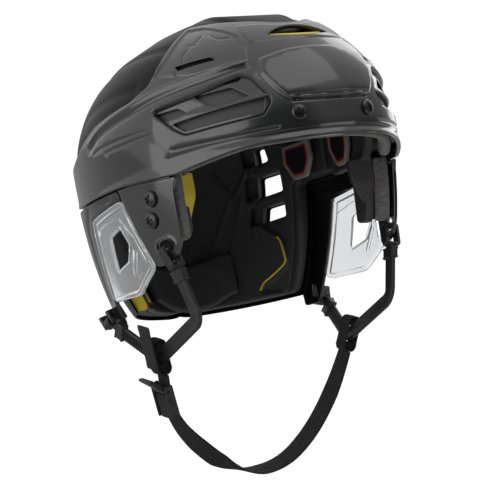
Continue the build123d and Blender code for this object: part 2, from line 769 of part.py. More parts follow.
def sleeve(start, leg):
    """The pocket at the end of a clip that the band's end is pushed into."""
    angle = math.degrees(math.atan2(leg.Y, leg.X))
    middle = start + leg * (sleeve_length / 2)
    play = assembly_gap / 2
    with BuildPart() as pocket:
        with BuildSketch(loop_plane):
            with Locations(Location((middle.X, middle.Y, 0), (0, 0, angle))):
                Rectangle(sleeve_length, band_width + sleeve_wall * 2)
        extrude(amount=band_thickness / 2 + sleeve_wall, both=True)
        with BuildSketch(loop_plane):
            opening = middle + leg * (band_inset - play)
            with Locations(Location((opening.X, opening.Y, 0), (0, 0, angle))):
                Rectangle(sleeve_length, band_width + play * 2)
        extrude(amount=band_thickness / 2 + play, both=True, mode=Mode.SUBTRACT)
    return pocket.part


# Front strap clip: a ring round the bar under the ear panel's slot, with a sleeve below it
clip_gap_width = 7.4
clip_gap_height = 13.6
clip_neck_height = 5.3
with BuildPart() as front_strap_clip:
    with BuildSketch(across_plane(-clip_width / 2)):
        Rectangle(clip_gap_width + clip_wall * 2, clip_gap_height + clip_wall * 2)
        Rectangle(clip_gap_width, clip_gap_height, mode=Mode.SUBTRACT)
    extrude(amount=clip_width)
    add(sleeve(front_leg * front_sleeve_start, front_leg))
    with BuildSketch(loop_plane):
        neck = front_leg * front_sleeve_start
        with Locations((neck.X / 2, clip_gap_height / 2 + clip_wall / 2)):
            Rectangle(clip_width, clip_neck_height, align=(Align.CENTER, Align.MIN))
    extrude(amount=band_thickness / 2 + sleeve_wall, both=True)
    add(band_space, mode=Mode.SUBTRACT)
save(front_strap_clip.part, "front_strap_clip_right")
save(mirror(front_strap_clip.part, about=Plane.YZ), "front_strap_clip_left")

# Rear strap clip: an eye round the horn's pin, with a neck and a sleeve towards the band
neck_width = 3.4
with BuildPart() as rear_strap_clip:
    with BuildSketch(across_plane(anchor_length - eye_width / 2)):
        Circle(eye_radius)
    extrude(amount=eye_width)
    with BuildSketch(loop_plane):
        neck = rear_point + rear_leg * (eye_radius + rear_sleeve_start) / 2
        rear_angle = math.degrees(math.atan2(rear_leg.Y, rear_leg.X))
        with Locations(Location((neck.X, neck.Y, 0), (0, 0, rear_angle))):
            Rectangle(rear_sleeve_start, neck_width)
    extrude(amount=band_thickness / 2, both=True)
    add(sleeve(rear_point + rear_leg * rear_sleeve_start, rear_leg))
    with BuildSketch(across_plane(anchor_length - eye_width / 2)):
        Circle(pin_radius + assembly_gap)
    extrude(amount=eye_width, mode=Mode.SUBTRACT)
    add(band_space, mode=Mode.SUBTRACT)
save(rear_strap_clip.part, "rear_strap_clip_right")
save(mirror(rear_strap_clip.part, about=Plane.YZ), "rear_strap_clip_left")


# Chin strap. Its parts lie in one upright plane across the head, x to the left and z upwards
def across_head(width):
    """The near face of a strap of this width, centred on the strap's plane."""
    return Plane(origin=(0, vertex_y + width / 2, 0), x_dir=(1, 0, 0), z_dir=(0, -1, 0))


vertex = front_anchor + hinge_dir * vertex_along + band_dir * loop_drop
vertex_x, vertex_y, vertex_z = vertex.X, vertex.Y, vertex.Z
ring_gap_width = 8.2
ring_gap_height = 24.0
ring_lift = 2.4
ring_width = 12.0


def strap_ring():
    """A loop of webbing that hangs on the band at its lowest corner."""
    up = Vector(-math.sin(lean), math.cos(lean))
    middle = Vector(vertex_x, vertex_z) + up * ring_lift
    place = Location((middle.X, middle.Y, 0), (0, 0, 90 + band_tilt))
    with BuildPart() as ring:
        with BuildSketch(across_head(ring_width)):
            with Locations(place):
                SlotOverall(ring_gap_height + webbing_thickness * 2, ring_gap_width + webbing_thickness * 2)
                SlotOverall(ring_gap_height, ring_gap_width, mode=Mode.SUBTRACT)
        extrude(amount=ring_width)
    return ring.part


save(strap_ring(), "strap_ring_right")
save(mirror(strap_ring(), about=Plane.YZ), "strap_ring_left")

# The webbing hangs in a slack curve from ring to ring. Its route is chosen by eye, in shares of the
# half span between the rings and of the curve's drop. Each of its arcs is as large as its runs allow.
ring_reach = ring_gap_height / 2 + webbing_thickness + assembly_gap - ring_lift
strap_half_span = -vertex_x - math.sin(lean) * ring_reach
strap_top_z = vertex_z - math.cos(lean) * ring_reach
strap_drop = 83.0
strap_route_shares = [
    (-1.0, 0.0), (-0.974, 0.162), (-0.918, 0.332), (-0.803, 0.507), (-0.602, 0.701), (-0.326, 0.901),
    (0.0, 1.0), (0.326, 0.937), (0.583, 0.737), (0.778, 0.483), (0.921, 0.211), (1.0, 0.0),
]
strap_route = [(x * strap_half_span, strap_top_z - z * strap_drop) for x, z in strap_route_shares]
arc_share = 0.45


def route_radii(points):
    """Radius of the arc at each inner point of a route."""
    radii = []
    for before, here, after in zip(points, points[1:], points[2:]):
        run_in = Vector(here[0] - before[0], here[1] - before[1])
        run_out = Vector(after[0] - here[0], after[1] - here[1])
        half_turn = math.radians(run_in.get_angle(run_out) / 2)
        radii.append(arc_share * min(run_in.length, run_out.length) / math.tan(half_turn))
    return radii


strap_radii = route_radii(strap_route)
with BuildPart() as chin_strap:
    with BuildSketch(across_head(webbing_width)):
        with BuildLine() as strap_line:
            FilletPolyline(*strap_route, radius=strap_radii)
        trace(line_width=webbing_thickness)
    extrude(amount=webbing_width)
strap_length = sum(edge.length for edge in strap_line.edges())
section = webbing_width * webbing_thickness
print("chin strap length", round(strap_length, 1), "radii", [round(r, 1) for r in strap_radii])
print("volume against section times length", round(chin_strap.part.volume / (strap_length * section), 4))
save(chin_strap.part, "chin_strap")

# Buckle on the right side: a frame along the webbing, a ridged lever on a pin, and the free end
buckle_tilt = 17.0
buckle_x = -0.952 * strap_half_span
buckle_z = strap_top_z - 0.23 * strap_drop
rail_overlap = 1.4
bar_length = 3.6
bar_thickness = 1.6
lever_pin_radius = 1.1
lever_barrel_radius = 2.3
lever_rise = 30.0
ridge_radius = 0.9
first_ridge_share = 0.31
pin_play = 0.05
frame_half_width = webbing_width / 2 + assembly_gap


def buckle_plane(along, across=0.0):
    """Upright plane square to the webbing here, x outwards and y to the helmet's rear."""
    turn = math.radians(buckle_tilt)
    down = Vector(math.sin(turn), 0, -math.cos(turn))
    outwards = Vector(-math.cos(turn), 0, -math.sin(turn))
    origin = Vector(buckle_x, vertex_y, buckle_z) + down * along + outwards * across
    return Plane(origin=origin, x_dir=outwards, z_dir=down)


rail_outer = rail_overlap + buckle_depth
bar_inner = webbing_thickness / 2 + assembly_gap
lever_across = bar_inner + lever_barrel_radius
lever_along = -buckle_length / 2 + lever_barrel_radius + bar_thickness
with BuildPart() as buckle_frame:
    with BuildSketch(buckle_plane(-buckle_length / 2)):
        for side in (1, -1):
            with Locations(((rail_outer - rail_overlap) / 2, side * (frame_half_width + buckle_rail / 2))):
                Rectangle(rail_outer + rail_overlap, buckle_rail)
    extrude(amount=buckle_length)
    with BuildSketch(buckle_plane(buckle_length / 2 - bar_length)):
        with Locations((bar_inner + bar_thickness / 2, 0)):
            Rectangle(bar_thickness, frame_half_width * 2 + buckle_rail)
    extrude(amount=bar_length)
    with BuildSketch(buckle_plane(0)):
        with Locations((bar_inner + bar_thickness / 2, 0)):
            Rectangle(bar_thickness, frame_half_width * 2 + buckle_rail)
    extrude(amount=bar_length)
    pin_plane = Plane(
        origin=buckle_plane(lever_along, lever_across).origin - Vector(0, head_reach, 0),
        x_dir=(1, 0, 0),
        z_dir=(0, 1, 0),
    )
    with BuildSketch(pin_plane):
        Circle(lever_pin_radius)
    extrude(amount=head_reach * 2, mode=Mode.SUBTRACT)
save(buckle_frame.part, "buckle_frame")


def pin_plane_at(offset_y):
    """Plane square to the lever's pin, x outwards and y upwards, this far behind its middle."""
    middle = buckle_plane(lever_along, lever_across).origin
    return Plane(origin=middle + Vector(0, offset_y, 0), x_dir=(-1, 0, 0), z_dir=(0, 1, 0))


pin_half_length = frame_half_width + buckle_rail
with BuildPart() as buckle_pin:
    with BuildSketch(pin_plane_at(-pin_half_length)):
        Circle(lever_pin_radius - pin_play)
    extrude(amount=pin_half_length * 2)
save(buckle_pin.part, "buckle_pin")

lever_half_width = frame_half_width - assembly_gap
with BuildPart() as buckle_lever:
    with BuildSketch(pin_plane_at(-lever_half_width)):
        Circle(lever_barrel_radius)
        rise = math.radians(lever_rise)
        tab = Vector(math.cos(rise), math.sin(rise))
        tab_middle = tab * lever_length / 2
        with Locations(Location((tab_middle.X, tab_middle.Y, 0), (0, 0, lever_rise))):
            Rectangle(lever_length, lever_thickness)
        for ridge in range(lever_ridges):
            reach = lever_length * (first_ridge_share + (1 - first_ridge_share) * ridge / lever_ridges)
            top = Vector(-tab.Y, tab.X) * lever_thickness / 2
            with Locations((tab.X * reach + top.X, tab.Y * reach + top.Y)):
                Circle(ridge_radius)
        Circle(lever_pin_radius, mode=Mode.SUBTRACT)
    extrude(amount=lever_half_width * 2)
save(buckle_lever.part, "buckle_lever")

# Free end of the webbing, standing up outside the ring
tail_lean = 15.0
tail_length = 24.0
tail_lift = 5.4
tail_gap = ring_gap_width / 2 + webbing_thickness * 1.5 + assembly_gap / 2
tail_up = Vector(-math.sin(math.radians(tail_lean)), math.cos(math.radians(tail_lean)))
tail_out = Vector(-tail_up.Y, tail_up.X)
tail_bottom = Vector(vertex_x, vertex_z) + tail_out * tail_gap - tail_up * tail_lift
tail_top = tail_bottom + tail_up * tail_length
with BuildPart() as strap_tail:
    with BuildSketch(across_head(webbing_width)):
        with BuildLine():
            Line((tail_bottom.X, tail_bottom.Y), (tail_top.X, tail_top.Y))
        trace(line_width=webbing_thickness)
    extrude(amount=webbing_width)
print("hinge half span", hinge_half_span, "vertex", vertex, "buckle", buckle_x, buckle_z)
save(strap_tail.part, "strap_tail")
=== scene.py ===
# %% [markdown]
# # An ice hockey helmet
#
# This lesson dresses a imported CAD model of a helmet. The CAD gives every piece its place, size and
# joint. Here the pieces get the soft edges, creases, weave and gloss that a camera sees.
# Everything is worked out in millimetres in the helmet's own level frame, then tipped nose up, as
# the helmet hangs, and turned into metres when a mesh is made.

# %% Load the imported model
import math

import bmesh
import bpy
import numpy as np
from mathutils import Matrix, Vector
from mathutils.geometry import delaunay_2d_cdt
from mathutils.kdtree import KDTree


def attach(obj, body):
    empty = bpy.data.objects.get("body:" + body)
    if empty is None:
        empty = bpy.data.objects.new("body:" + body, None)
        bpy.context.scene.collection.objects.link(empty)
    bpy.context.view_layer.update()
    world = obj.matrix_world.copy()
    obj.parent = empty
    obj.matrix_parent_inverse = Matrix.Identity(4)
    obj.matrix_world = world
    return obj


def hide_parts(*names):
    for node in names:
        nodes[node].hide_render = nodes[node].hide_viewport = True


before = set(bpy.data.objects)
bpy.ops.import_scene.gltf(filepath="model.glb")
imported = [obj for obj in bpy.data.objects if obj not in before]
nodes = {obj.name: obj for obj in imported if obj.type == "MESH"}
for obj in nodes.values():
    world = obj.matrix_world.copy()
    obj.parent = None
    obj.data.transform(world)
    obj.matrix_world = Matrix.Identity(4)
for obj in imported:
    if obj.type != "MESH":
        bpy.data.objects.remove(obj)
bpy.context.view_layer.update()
PITCH = math.radians(18.7)
MM = 0.001


def in_scene(name, data):
    """A new object of the scene."""
    made = bpy.data.objects.new(name, data)
    bpy.context.scene.collection.objects.link(made)
    return made


def applied(thing):
    """A new mesh of the object, with its modifiers applied."""
    return bpy.data.meshes.new_from_object(thing.evaluated_get(bpy.context.evaluated_depsgraph_get()))


# %% [markdown]
# ## Camera
#
# The camera stands where a head form and the hinge points, fitted to the photograph, put it: low,
# to the wearer's right of the front, and far away with a long lens. It is aimed so that the middle
# of the view falls where the middle of the photograph does.

# %% Camera
CAMERA_DISTANCE = 2.0
FOCAL_PIXELS = 2720.0
PHOTO_SIZE = 495.0
ORIGIN_PIXEL = (231.4, 151.1)
towards_camera = Vector((-0.541, -0.833, 0.118)).normalized()
camera_right = Vector((0.839, -0.545, 0.0)).normalized()
camera_up = towards_camera.cross(camera_right)
aim_right = (PHOTO_SIZE / 2 - ORIGIN_PIXEL[0]) / FOCAL_PIXELS
aim_down = (PHOTO_SIZE / 2 - ORIGIN_PIXEL[1]) / FOCAL_PIXELS
aim = (-towards_camera + camera_right * aim_right - camera_up * aim_down).normalized()
side_axis = aim.cross(camera_up).normalized()
top_axis = side_axis.cross(aim)
camera_data = bpy.data.cameras.new("photo_camera")
camera_data.sensor_width = 36.0
camera_data.lens = camera_data.sensor_width * FOCAL_PIXELS / PHOTO_SIZE
camera = in_scene("photo_camera", camera_data)
turn = Matrix((side_axis, top_axis, -aim)).transposed()
camera.matrix_world = Matrix.Translation(towards_camera * CAMERA_DISTANCE) @ turn.to_4x4()
bpy.context.scene.camera = camera
print("camera lens", round(camera_data.lens, 1))

# %% [markdown]
# ## Node helpers
#
# Materials, shared effects and the sky are all small node trees. A few helpers add a node, fill
# its inputs from values or from other nodes, and hand back its output.

# %% Node helpers
def linked(tree, node, **inputs):
    """Fills a node's inputs, by name or as i0, i1 and so on, from values or other nodes' outputs."""
    for key, value in inputs.items():
        socket = node.inputs[int(key[1:])] if key[0] == "i" and key[1:].isdigit() else node.inputs[key]
        if isinstance(value, bpy.types.NodeSocket):
            tree.links.new(value, socket)
        else:
            socket.default_value = value
    return node


def noise(tree, vector, scale, detail=3.0, rough=0.6):
    node = tree.nodes.new("ShaderNodeTexNoise")
    return linked(tree, node, Vector=vector, Scale=scale, Detail=detail, Roughness=rough).outputs["Fac"]


def maths(tree, operation, a, b=0.0):
    node = tree.nodes.new("ShaderNodeMath")
    node.operation = operation
    return linked(tree, node, i0=a, i1=b).outputs[0]


def ranged(tree, value, low, high, to_low, to_high):
    node = tree.nodes.new("ShaderNodeMapRange")
    return linked(tree, node, i0=value, i1=low, i2=high, i3=to_low, i4=to_high).outputs[0]


def mixed(tree, share, first, second):
    node = tree.nodes.new("ShaderNodeMix")
    node.data_type = "RGBA"
    return linked(tree, node, i0=share, i6=first, i7=second).outputs[2]


def blended(tree, share, first, second):
    """One shader blended into another by a share."""
    node = tree.nodes.new("ShaderNodeMixShader")
    return linked(tree, node, i0=share, i1=first.outputs[0], i2=second.outputs[0]).outputs[0]


def seen_directly(tree):
    """1 for light paths that come straight, or through clear plastic, from the camera."""
    path = tree.nodes.new("ShaderNodeLightPath")
    return maths(tree, "MAXIMUM", path.outputs["Is Camera Ray"], path.outputs["Is Transmission Ray"])


# %% [markdown]
# ## Studio
#
# A glossy shell shows what is round it, so the studio matters as much as the plastic. The sky is
# bright on the left, above and behind, and has a dark patch in front, which gives the gloss its
# contrast. One soft box lights the near side, a wide one draws the crown, a low one fills the
# front, and a weak one behind on the right separates the far edge. Straight from the camera, the
# sky and the plain floor look nearly white.

# %% Sky, lights and floor
WHITE = (1.0, 1.0, 1.0, 1.0)
BRIGHT_SIDE, BRIGHT_SPREAD, BRIGHT_STRENGTH = (-0.45, 0.38, 0.81), (-0.45, 0.35), (0.10, 0.72)
DARK_SIDE, DARK_SPREAD, DARK_SHARE = (-0.30, -0.94, 0.14), (0.72, 0.93), (1.0, 0.05)
BACKDROP_STRENGTH = 1.15
FLOOR_LEVEL, FLOOR_REACH = -0.262, 6.0
SOFT_BOXES = (
    ("key_left", (-1.9, -0.35, 0.4), (2.4, 1.8), 14.0), ("top_wide", (0.3, -0.7, 1.6), (1.8, 1.2), 4.5),
    ("front_low", (1.0, -1.6, -0.1), (1.2, 0.6), 2.0), ("far_edge", (1.2, 0.6, 0.4), (0.5, 1.2), 2.2),
)
SOFT_BOX_TARGET = Vector((0.0, 0.0, -0.02))


def strength_towards(tree, way, direction, spread, strengths):
    """A strength that changes with how closely a ray's way follows a direction."""
    closeness = tree.nodes.new("ShaderNodeVectorMath")
    closeness.operation = "DOT_PRODUCT"
    linked(tree, closeness, i0=way, i1=direction)
    return ranged(tree, closeness.outputs["Value"], *spread, *strengths)


def soft_box(name, place, size, power):
    """A large rectangular area light that faces the helmet."""
    data = bpy.data.lights.new(name, "AREA")
    data.shape = "RECTANGLE"
    data.size, data.size_y = size
    data.energy = power
    light = in_scene(name, data)
    light.location = place
    direction = SOFT_BOX_TARGET - Vector(place)
    light.rotation_euler = direction.to_track_quat("-Z", "Y").to_euler()
    return light


world = bpy.data.worlds.new("studio")
world.use_nodes = True
sky = world.node_tree
ray_way = sky.nodes.new("ShaderNodeTexCoord").outputs["Generated"]
bright = strength_towards(sky, ray_way, BRIGHT_SIDE, BRIGHT_SPREAD, BRIGHT_STRENGTH)
dark = strength_towards(sky, ray_way, DARK_SIDE, DARK_SPREAD, DARK_SHARE)
sky_light = linked(sky, sky.nodes["Background"], Color=WHITE, Strength=maths(sky, "MULTIPLY", bright, dark))
backdrop = linked(sky, sky.nodes.new("ShaderNodeBackground"), Color=WHITE, Strength=BACKDROP_STRENGTH)
linked(sky, sky.nodes["World Output"], i0=blended(sky, seen_directly(sky), sky_light, backdrop))
bpy.context.scene.world = world
bpy.context.scene.view_settings.view_transform = "Standard"
for box in SOFT_BOXES:
    soft_box(*box)
floor_mesh = bpy.data.meshes.new("floor")
far = FLOOR_REACH
floor_corners = [(x, y, FLOOR_LEVEL) for x, y in ((-far, -far), (far, -far), (far, far), (-far, far))]
floor_mesh.from_pydata(floor_corners, [], [(0, 1, 2, 3)])
floor = in_scene("floor", floor_mesh)
print("studio ready")

# %% [markdown]
# ## Shared surface effects
#
# Moulded plastic is never perfectly even. One node group gives fine grain, a second one gives the
# slow changes of gloss and the pale dust and rubs that handling leaves, and a third one gives
# fibres for felt and the ribs of woven webbing. Each finish places them with its own values.

# %% Node groups
def new_group(name, inputs, outputs):
    """An empty shader group with named sockets, its input and its output node."""
    group = bpy.data.node_groups.new(name, "ShaderNodeTree")
    for socket, kind, value in inputs:
        made = group.interface.new_socket(socket, in_out="INPUT", socket_type=kind)
        made.default_value = value
    for socket, kind in outputs:
        group.interface.new_socket(socket, in_out="OUTPUT", socket_type=kind)
    return group, group.nodes.new("NodeGroupInput"), group.nodes.new("NodeGroupOutput")


VALUE, COLOUR = "NodeSocketFloat", "NodeSocketColor"

handled, handled_in, handled_out = new_group(
    "handled_surface",
    [("Colour", COLOUR, (0.02, 0.02, 0.02, 1)), ("Dust", COLOUR, (0.3, 0.3, 0.3, 1)), ("Amount", VALUE, 0.1),
     ("Gloss", VALUE, 0.2), ("Change", VALUE, 0.1)],
    [("Colour", COLOUR), ("Roughness", VALUE)],
)
place = handled.nodes.new("ShaderNodeTexCoord").outputs["Object"]
slow = noise(handled, place, 9.0, 4.0)
fine = noise(handled, place, 160.0, 2.0)
spots = ranged(handled, maths(handled, "MULTIPLY", slow, fine), 0.28, 0.46, 0.0, 1.0)
amount = maths(handled, "MULTIPLY", spots, handled_in.outputs["Amount"])
dusty = mixed(handled, amount, handled_in.outputs["Colour"], handled_in.outputs["Dust"])
handled.links.new(dusty, handled_out.inputs["Colour"])
swing = maths(handled, "MULTIPLY", maths(handled, "SUBTRACT", slow, 0.5), handled_in.outputs["Change"])
handled.links.new(maths(handled, "ADD", handled_in.outputs["Gloss"], swing), handled_out.inputs["Roughness"])

grain, grain_in, grain_out = new_group(
    "moulded_grain", [("Scale", VALUE, 900.0), ("Ripple", VALUE, 0.3)], [("Height", VALUE)]
)
place = grain.nodes.new("ShaderNodeTexCoord").outputs["Object"]
pits = noise(grain, place, grain_in.outputs["Scale"], 2.0)
waves = noise(grain, place, 26.0, 1.0)
ripples = maths(grain, "MULTIPLY", waves, grain_in.outputs["Ripple"])
grain.links.new(maths(grain, "ADD", pits, ripples), grain_out.inputs["Height"])

fibre, fibre_in, fibre_out = new_group(
    "felt_fibre", [("Scale", VALUE, 300.0)], [("Height", VALUE), ("Shade", VALUE)]
)
place = fibre.nodes.new("ShaderNodeTexCoord").outputs["Object"]
warp = fibre.nodes.new("ShaderNodeVectorMath")
warp.operation = "MULTIPLY"
linked(fibre, warp, i0=place, i1=(1.0, 0.35, 2.2))
strands = noise(fibre, warp.outputs[0], fibre_in.outputs["Scale"], 5.0, 0.75)
fibre.links.new(strands, fibre_out.inputs["Height"])
fibre.links.new(ranged(fibre, strands, 0.35, 0.7, 0.55, 1.5), fibre_out.inputs["Shade"])

weave, weave_in, weave_out = new_group(
    "webbing_weave", [("Along", VALUE, 900.0), ("Across", VALUE, 9.0)], [("Height", VALUE), ("Shade", VALUE)]
)
place = weave.nodes.new("ShaderNodeTexCoord").outputs["UV"]
apart = weave.nodes.new("ShaderNodeSeparateXYZ")
weave.links.new(place, apart.inputs[0])
picks = maths(weave, "SINE", maths(weave, "MULTIPLY", apart.outputs[0], weave_in.outputs["Along"]))
ends = maths(weave, "SINE", maths(weave, "MULTIPLY", apart.outputs[1], weave_in.outputs["Across"]))
knit = maths(weave, "MULTIPLY", picks, ends)
weave.links.new(maths(weave, "ADD", knit, maths(weave, "MULTIPLY", picks, 0.5)), weave_out.inputs["Height"])
weave.links.new(ranged(weave, knit, -1.0, 1.0, 0.7, 1.35), weave_out.inputs["Shade"])
print("shared effects", [g.name for g in bpy.data.node_groups])

# %% [markdown]
# ## Finishes
#
# The front shell is a glossy dark grey with a clear outer skin that mirrors the soft boxes. The
# rear shell is matte black. Foam edges are yellow, the moulded liners are soft black, the felt is
# a worn grey, and the ear guards are a clear plastic.

# %% Finishes
BUMP_DEPTH = 0.001
COAT_ROUGHNESS = 0.06


def new_material(name):
    """A material, its node tree and its main shader."""
    material = bpy.data.materials.new(name)
    material.use_nodes = True
    return material, material.node_tree, material.node_tree.nodes["Principled BSDF"]


def effect(tree, group, **inputs):
    """A shared effect placed in a material."""
    node = tree.nodes.new("ShaderNodeGroup")
    node.node_tree = group
    return linked(tree, node, **inputs)


def bumped(tree, height, strength):
    """A normal that a height changes."""
    node = tree.nodes.new("ShaderNodeBump")
    return linked(tree, node, Strength=strength, Distance=BUMP_DEPTH, Height=height).outputs[0]


def finish(name, colour, gloss, coat=0.0, bump=0.0, dust=0.1, change=0.1, scale=900.0, ripple=0.3,
           metallic=0.0, dust_colour=(0.25, 0.25, 0.25, 1.0), specular=0.5):
    """A moulded plastic, rubber or metal finish."""
    material, tree, shader = new_material(name)
    look = effect(tree, handled, Colour=(*colour, 1.0), Dust=dust_colour, Amount=dust, Gloss=gloss,
                  Change=change)
    linked(tree, shader, **{
        "Base Color": look.outputs["Colour"], "Roughness": look.outputs["Roughness"], "Metallic": metallic,
        "Specular IOR Level": specular, "Coat Weight": coat, "Coat Roughness": COAT_ROUGHNESS,
    })
    if bump:
        skin = effect(tree, grain, Scale=scale, Ripple=ripple)
        linked(tree, shader, Normal=bumped(tree, skin.outputs["Height"], bump))
    return material


def cloth_finish(name, colour, group, strength, gloss=0.9, sheen=0.3, **values):
    """Felt or webbing: a colour that a group shades, and that group's height as bump."""
    material, tree, shader = new_material(name)
    threads = effect(tree, group, **values)
    shade = tree.nodes.new("ShaderNodeVectorMath")
    shade.operation = "SCALE"
    linked(tree, shade, i0=colour, Scale=threads.outputs["Shade"])
    linked(tree, shader, **{
        "Base Color": shade.outputs[0], "Roughness": gloss, "Sheen Weight": sheen,
        "Normal": bumped(tree, threads.outputs["Height"], strength),
    })
    return material


shell_gloss = finish("shell_gloss", (0.020, 0.0205, 0.021), 0.2, coat=0.9, bump=0.02, dust=0.06, change=0.12,
                     scale=500.0, ripple=0.6)
shell_matte = finish("shell_matte", (0.004, 0.004, 0.0045), 0.36, bump=0.12, dust=0.015, scale=1300.0,
                     ripple=0.8, specular=0.1)
black_gloss = finish("black_gloss", (0.009, 0.009, 0.010), 0.2, coat=0.4, bump=0.02, dust=0.05)
black_satin = finish("black_satin", (0.012, 0.012, 0.013), 0.42, bump=0.08, dust=0.08, scale=1100.0)
foam_yellow = finish("foam_yellow", (0.86, 0.68, 0.05), 0.75, bump=0.25, scale=1500.0,
                     dust_colour=(0.3, 0.22, 0.02, 1.0))
# The liners' own black, which the yellow foams also take as painted shade where they lie in shade.
liner_black = finish("liner_black", (0.050, 0.050, 0.050), 0.55, bump=0.22, scale=1700.0, ripple=0.5,
                     dust_colour=(0.06, 0.06, 0.055, 1.0))
gel_grey = finish("gel_grey", (0.30, 0.28, 0.26), 0.5, bump=0.12, dust=0.12)
gel_black = finish("gel_black", (0.010, 0.010, 0.010), 0.45, bump=0.06, dust=0.05)
gel_red = finish("gel_red", (0.45, 0.02, 0.02), 0.5)
black_steel = finish("black_steel", (0.03, 0.03, 0.032), 0.3, metallic=0.85, bump=0.04, dust=0.08)
bright_steel = finish("bright_steel", (0.5, 0.5, 0.5), 0.3, metallic=1.0, bump=0.04, dust=0.05)
band_rubber = finish("band_rubber", (0.016, 0.016, 0.017), 0.4, bump=0.1, dust=0.12, scale=1200.0)
felt_grey = cloth_finish("felt_grey", (0.15, 0.147, 0.14), fibre, 0.9, Scale=260.0)
webbing = cloth_finish("webbing", (0.010, 0.010, 0.010), weave, 0.9, gloss=0.8, sheen=0.05, Along=4200.0,
                       Across=60.0)
clear_guard, clear_tree, clear_shader = new_material("clear_guard")
linked(clear_tree, clear_shader, **{
    "Base Color": (0.93, 0.94, 0.95, 1.0), "Roughness": 0.1, "Transmission Weight": 0.84, "IOR": 1.45,
})

# %% Floor finish
FLOOR_TONE, FLOOR_ROUGHNESS, FLOOR_GLOW, FLOOR_GLOW_SHARE = 0.5, 0.9, 1.12, 0.95
floor_white, floor_tree, floor_shader = new_material("floor_white")
linked(floor_tree, floor_shader, **{"Base Color": (*(FLOOR_TONE,) * 3, 1.0), "Roughness": FLOOR_ROUGHNESS})
floor_glow = linked(floor_tree, floor_tree.nodes.new("ShaderNodeEmission"), Strength=FLOOR_GLOW)
glow_share = maths(floor_tree, "MULTIPLY", seen_directly(floor_tree), FLOOR_GLOW_SHARE)
floor_look = blended(floor_tree, glow_share, floor_shader, floor_glow)
linked(floor_tree, floor_tree.nodes["Material Output"], i0=floor_look)
floor_mesh.materials.append(floor_white)
print("finishes", len(bpy.data.materials))

# %% [markdown]
# ## The head form
#
# The shells, the foam and the pads are all layers of one head shape. A point on it has two
# numbers: its turn round the head from the face, and its descent, the distance down the profile
# from the crown. A flat chart of these two keeps angles true, like a polar map, so that an even
# triangle net drawn on the chart stays even on the head.

# %% Head form
FULLNESS = 0.575
FORM_DEPTH = 126.0
POLE = 3.0
PROFILE_STEPS = 300


class HeadForm:
    """The outer face of the front or the rear shell, in millimetres: a cubic curve over an ellipse."""

    def __init__(self, width, length, crown, skirt, shift=0.0):
        t = np.linspace(1.0, 0.0, PROFILE_STEPS)
        share_up = (1 - t) ** 3 + 3 * (1 - t) ** 2 * t + 3 * (1 - t) * t * t * FULLNESS
        level_up = crown * (3 * (1 - t) ** 2 * t * FULLNESS + 3 * (1 - t) * t * t + t ** 3)
        level_down = np.linspace(0.0, -FORM_DEPTH, PROFILE_STEPS)[1:]
        share_down = np.sqrt(1 - (level_down / skirt) ** 2)
        self.width, self.length, self.crown, self.shift = width, length, crown, shift
        self.girth = (width + length) / 2
        self.level = np.concatenate([level_up, level_down])
        self.share = np.concatenate([share_up, share_down])
        step = np.hypot(np.diff(self.level), np.diff(self.share) * self.girth)
        self.descent = np.concatenate([[0.0], np.cumsum(step)])
        round_here = np.maximum(self.share * self.girth, POLE / 2)
        growth = np.concatenate([[0.0], np.cumsum(step / (round_here[1:] + round_here[:-1]) * 2)])
        growth -= np.interp(POLE, self.descent, growth)
        self.chart_radius = np.where(self.descent < POLE, self.descent, POLE * np.exp(growth))
        self.steepness = -np.arctan2(self.level, self.share * self.girth)

    def surface(self, turn, descent, inset=0.0):
        """Points at this turn and descent, this far inside the form."""
        share = np.interp(descent, self.descent, self.share)
        level = np.interp(descent, self.descent, self.level)
        shrink = np.where(level > 0, 1 - inset / self.crown, 1.0)
        x = (self.width - inset) * share * np.sin(turn)
        y = self.shift - (self.length - inset) * share * np.cos(turn)
        return np.stack([x, y, level * shrink], axis=-1)

    def locate(self, points, inset=0.0):
        """Turn and descent of points near the form."""
        points = np.asarray(points, float)
        a = points[:, 0] / (self.width - inset)
        b = (self.shift - points[:, 1]) / (self.length - inset)
        level = np.where(points[:, 2] > 0, points[:, 2] / (1 - inset / self.crown), points[:, 2])
        steepness = -np.arctan2(level, np.hypot(a, b) * self.girth)
        return np.arctan2(a, b), np.interp(steepness, self.steepness, self.descent)

    def chart(self, turn, descent):
        radius = np.interp(descent, self.descent, self.chart_radius)
        return np.stack([radius * np.sin(turn), -radius * np.cos(turn)], axis=-1)

    def unchart(self, flat):
        radius = np.hypot(flat[:, 0], flat[:, 1])
        return np.arctan2(flat[:, 0], -flat[:, 1]), np.interp(radius, self.chart_radius, self.descent)

    def stretch(self, descent):
        """Chart millimetres for one millimetre on the head."""
        radius = np.interp(descent, self.descent, self.chart_radius)
        share = np.interp(descent, self.descent, self.share)
        return np.where(descent < POLE, 1.0, radius / np.maximum(share * self.girth, POLE / 2))

    def side(self, points, inset=0.0, step=1.0, closed=False):
        """Points on the right side, from a side view's (y, z)."""
        flat = dense(points, step, closed)
        level = np.where(flat[:, 1] > 0, flat[:, 1] / (1 - inset / self.crown), flat[:, 1])
        share = np.interp(-level, -self.level, self.share)
        b = (flat[:, 0] - self.shift) / (self.length - inset)
        x = -(self.width - inset) * np.sqrt(np.maximum(share ** 2 - b ** 2, 0.0))
        return np.column_stack([x, flat[:, 0], flat[:, 1]])

    def top(self, points, inset=0.0, step=1.0, closed=False):
        """Points on the upper half, from a top view's (x, y)."""
        flat = dense(points, step, closed)
        a = flat[:, 0] / (self.width - inset)
        b = (flat[:, 1] - self.shift) / (self.length - inset)
        reach = np.hypot(a, b)
        upper_share, upper_level = self.share[:PROFILE_STEPS], self.level[:PROFILE_STEPS]
        level = np.interp(reach, upper_share, upper_level) * (1 - inset / self.crown)
        return np.column_stack([flat, level])


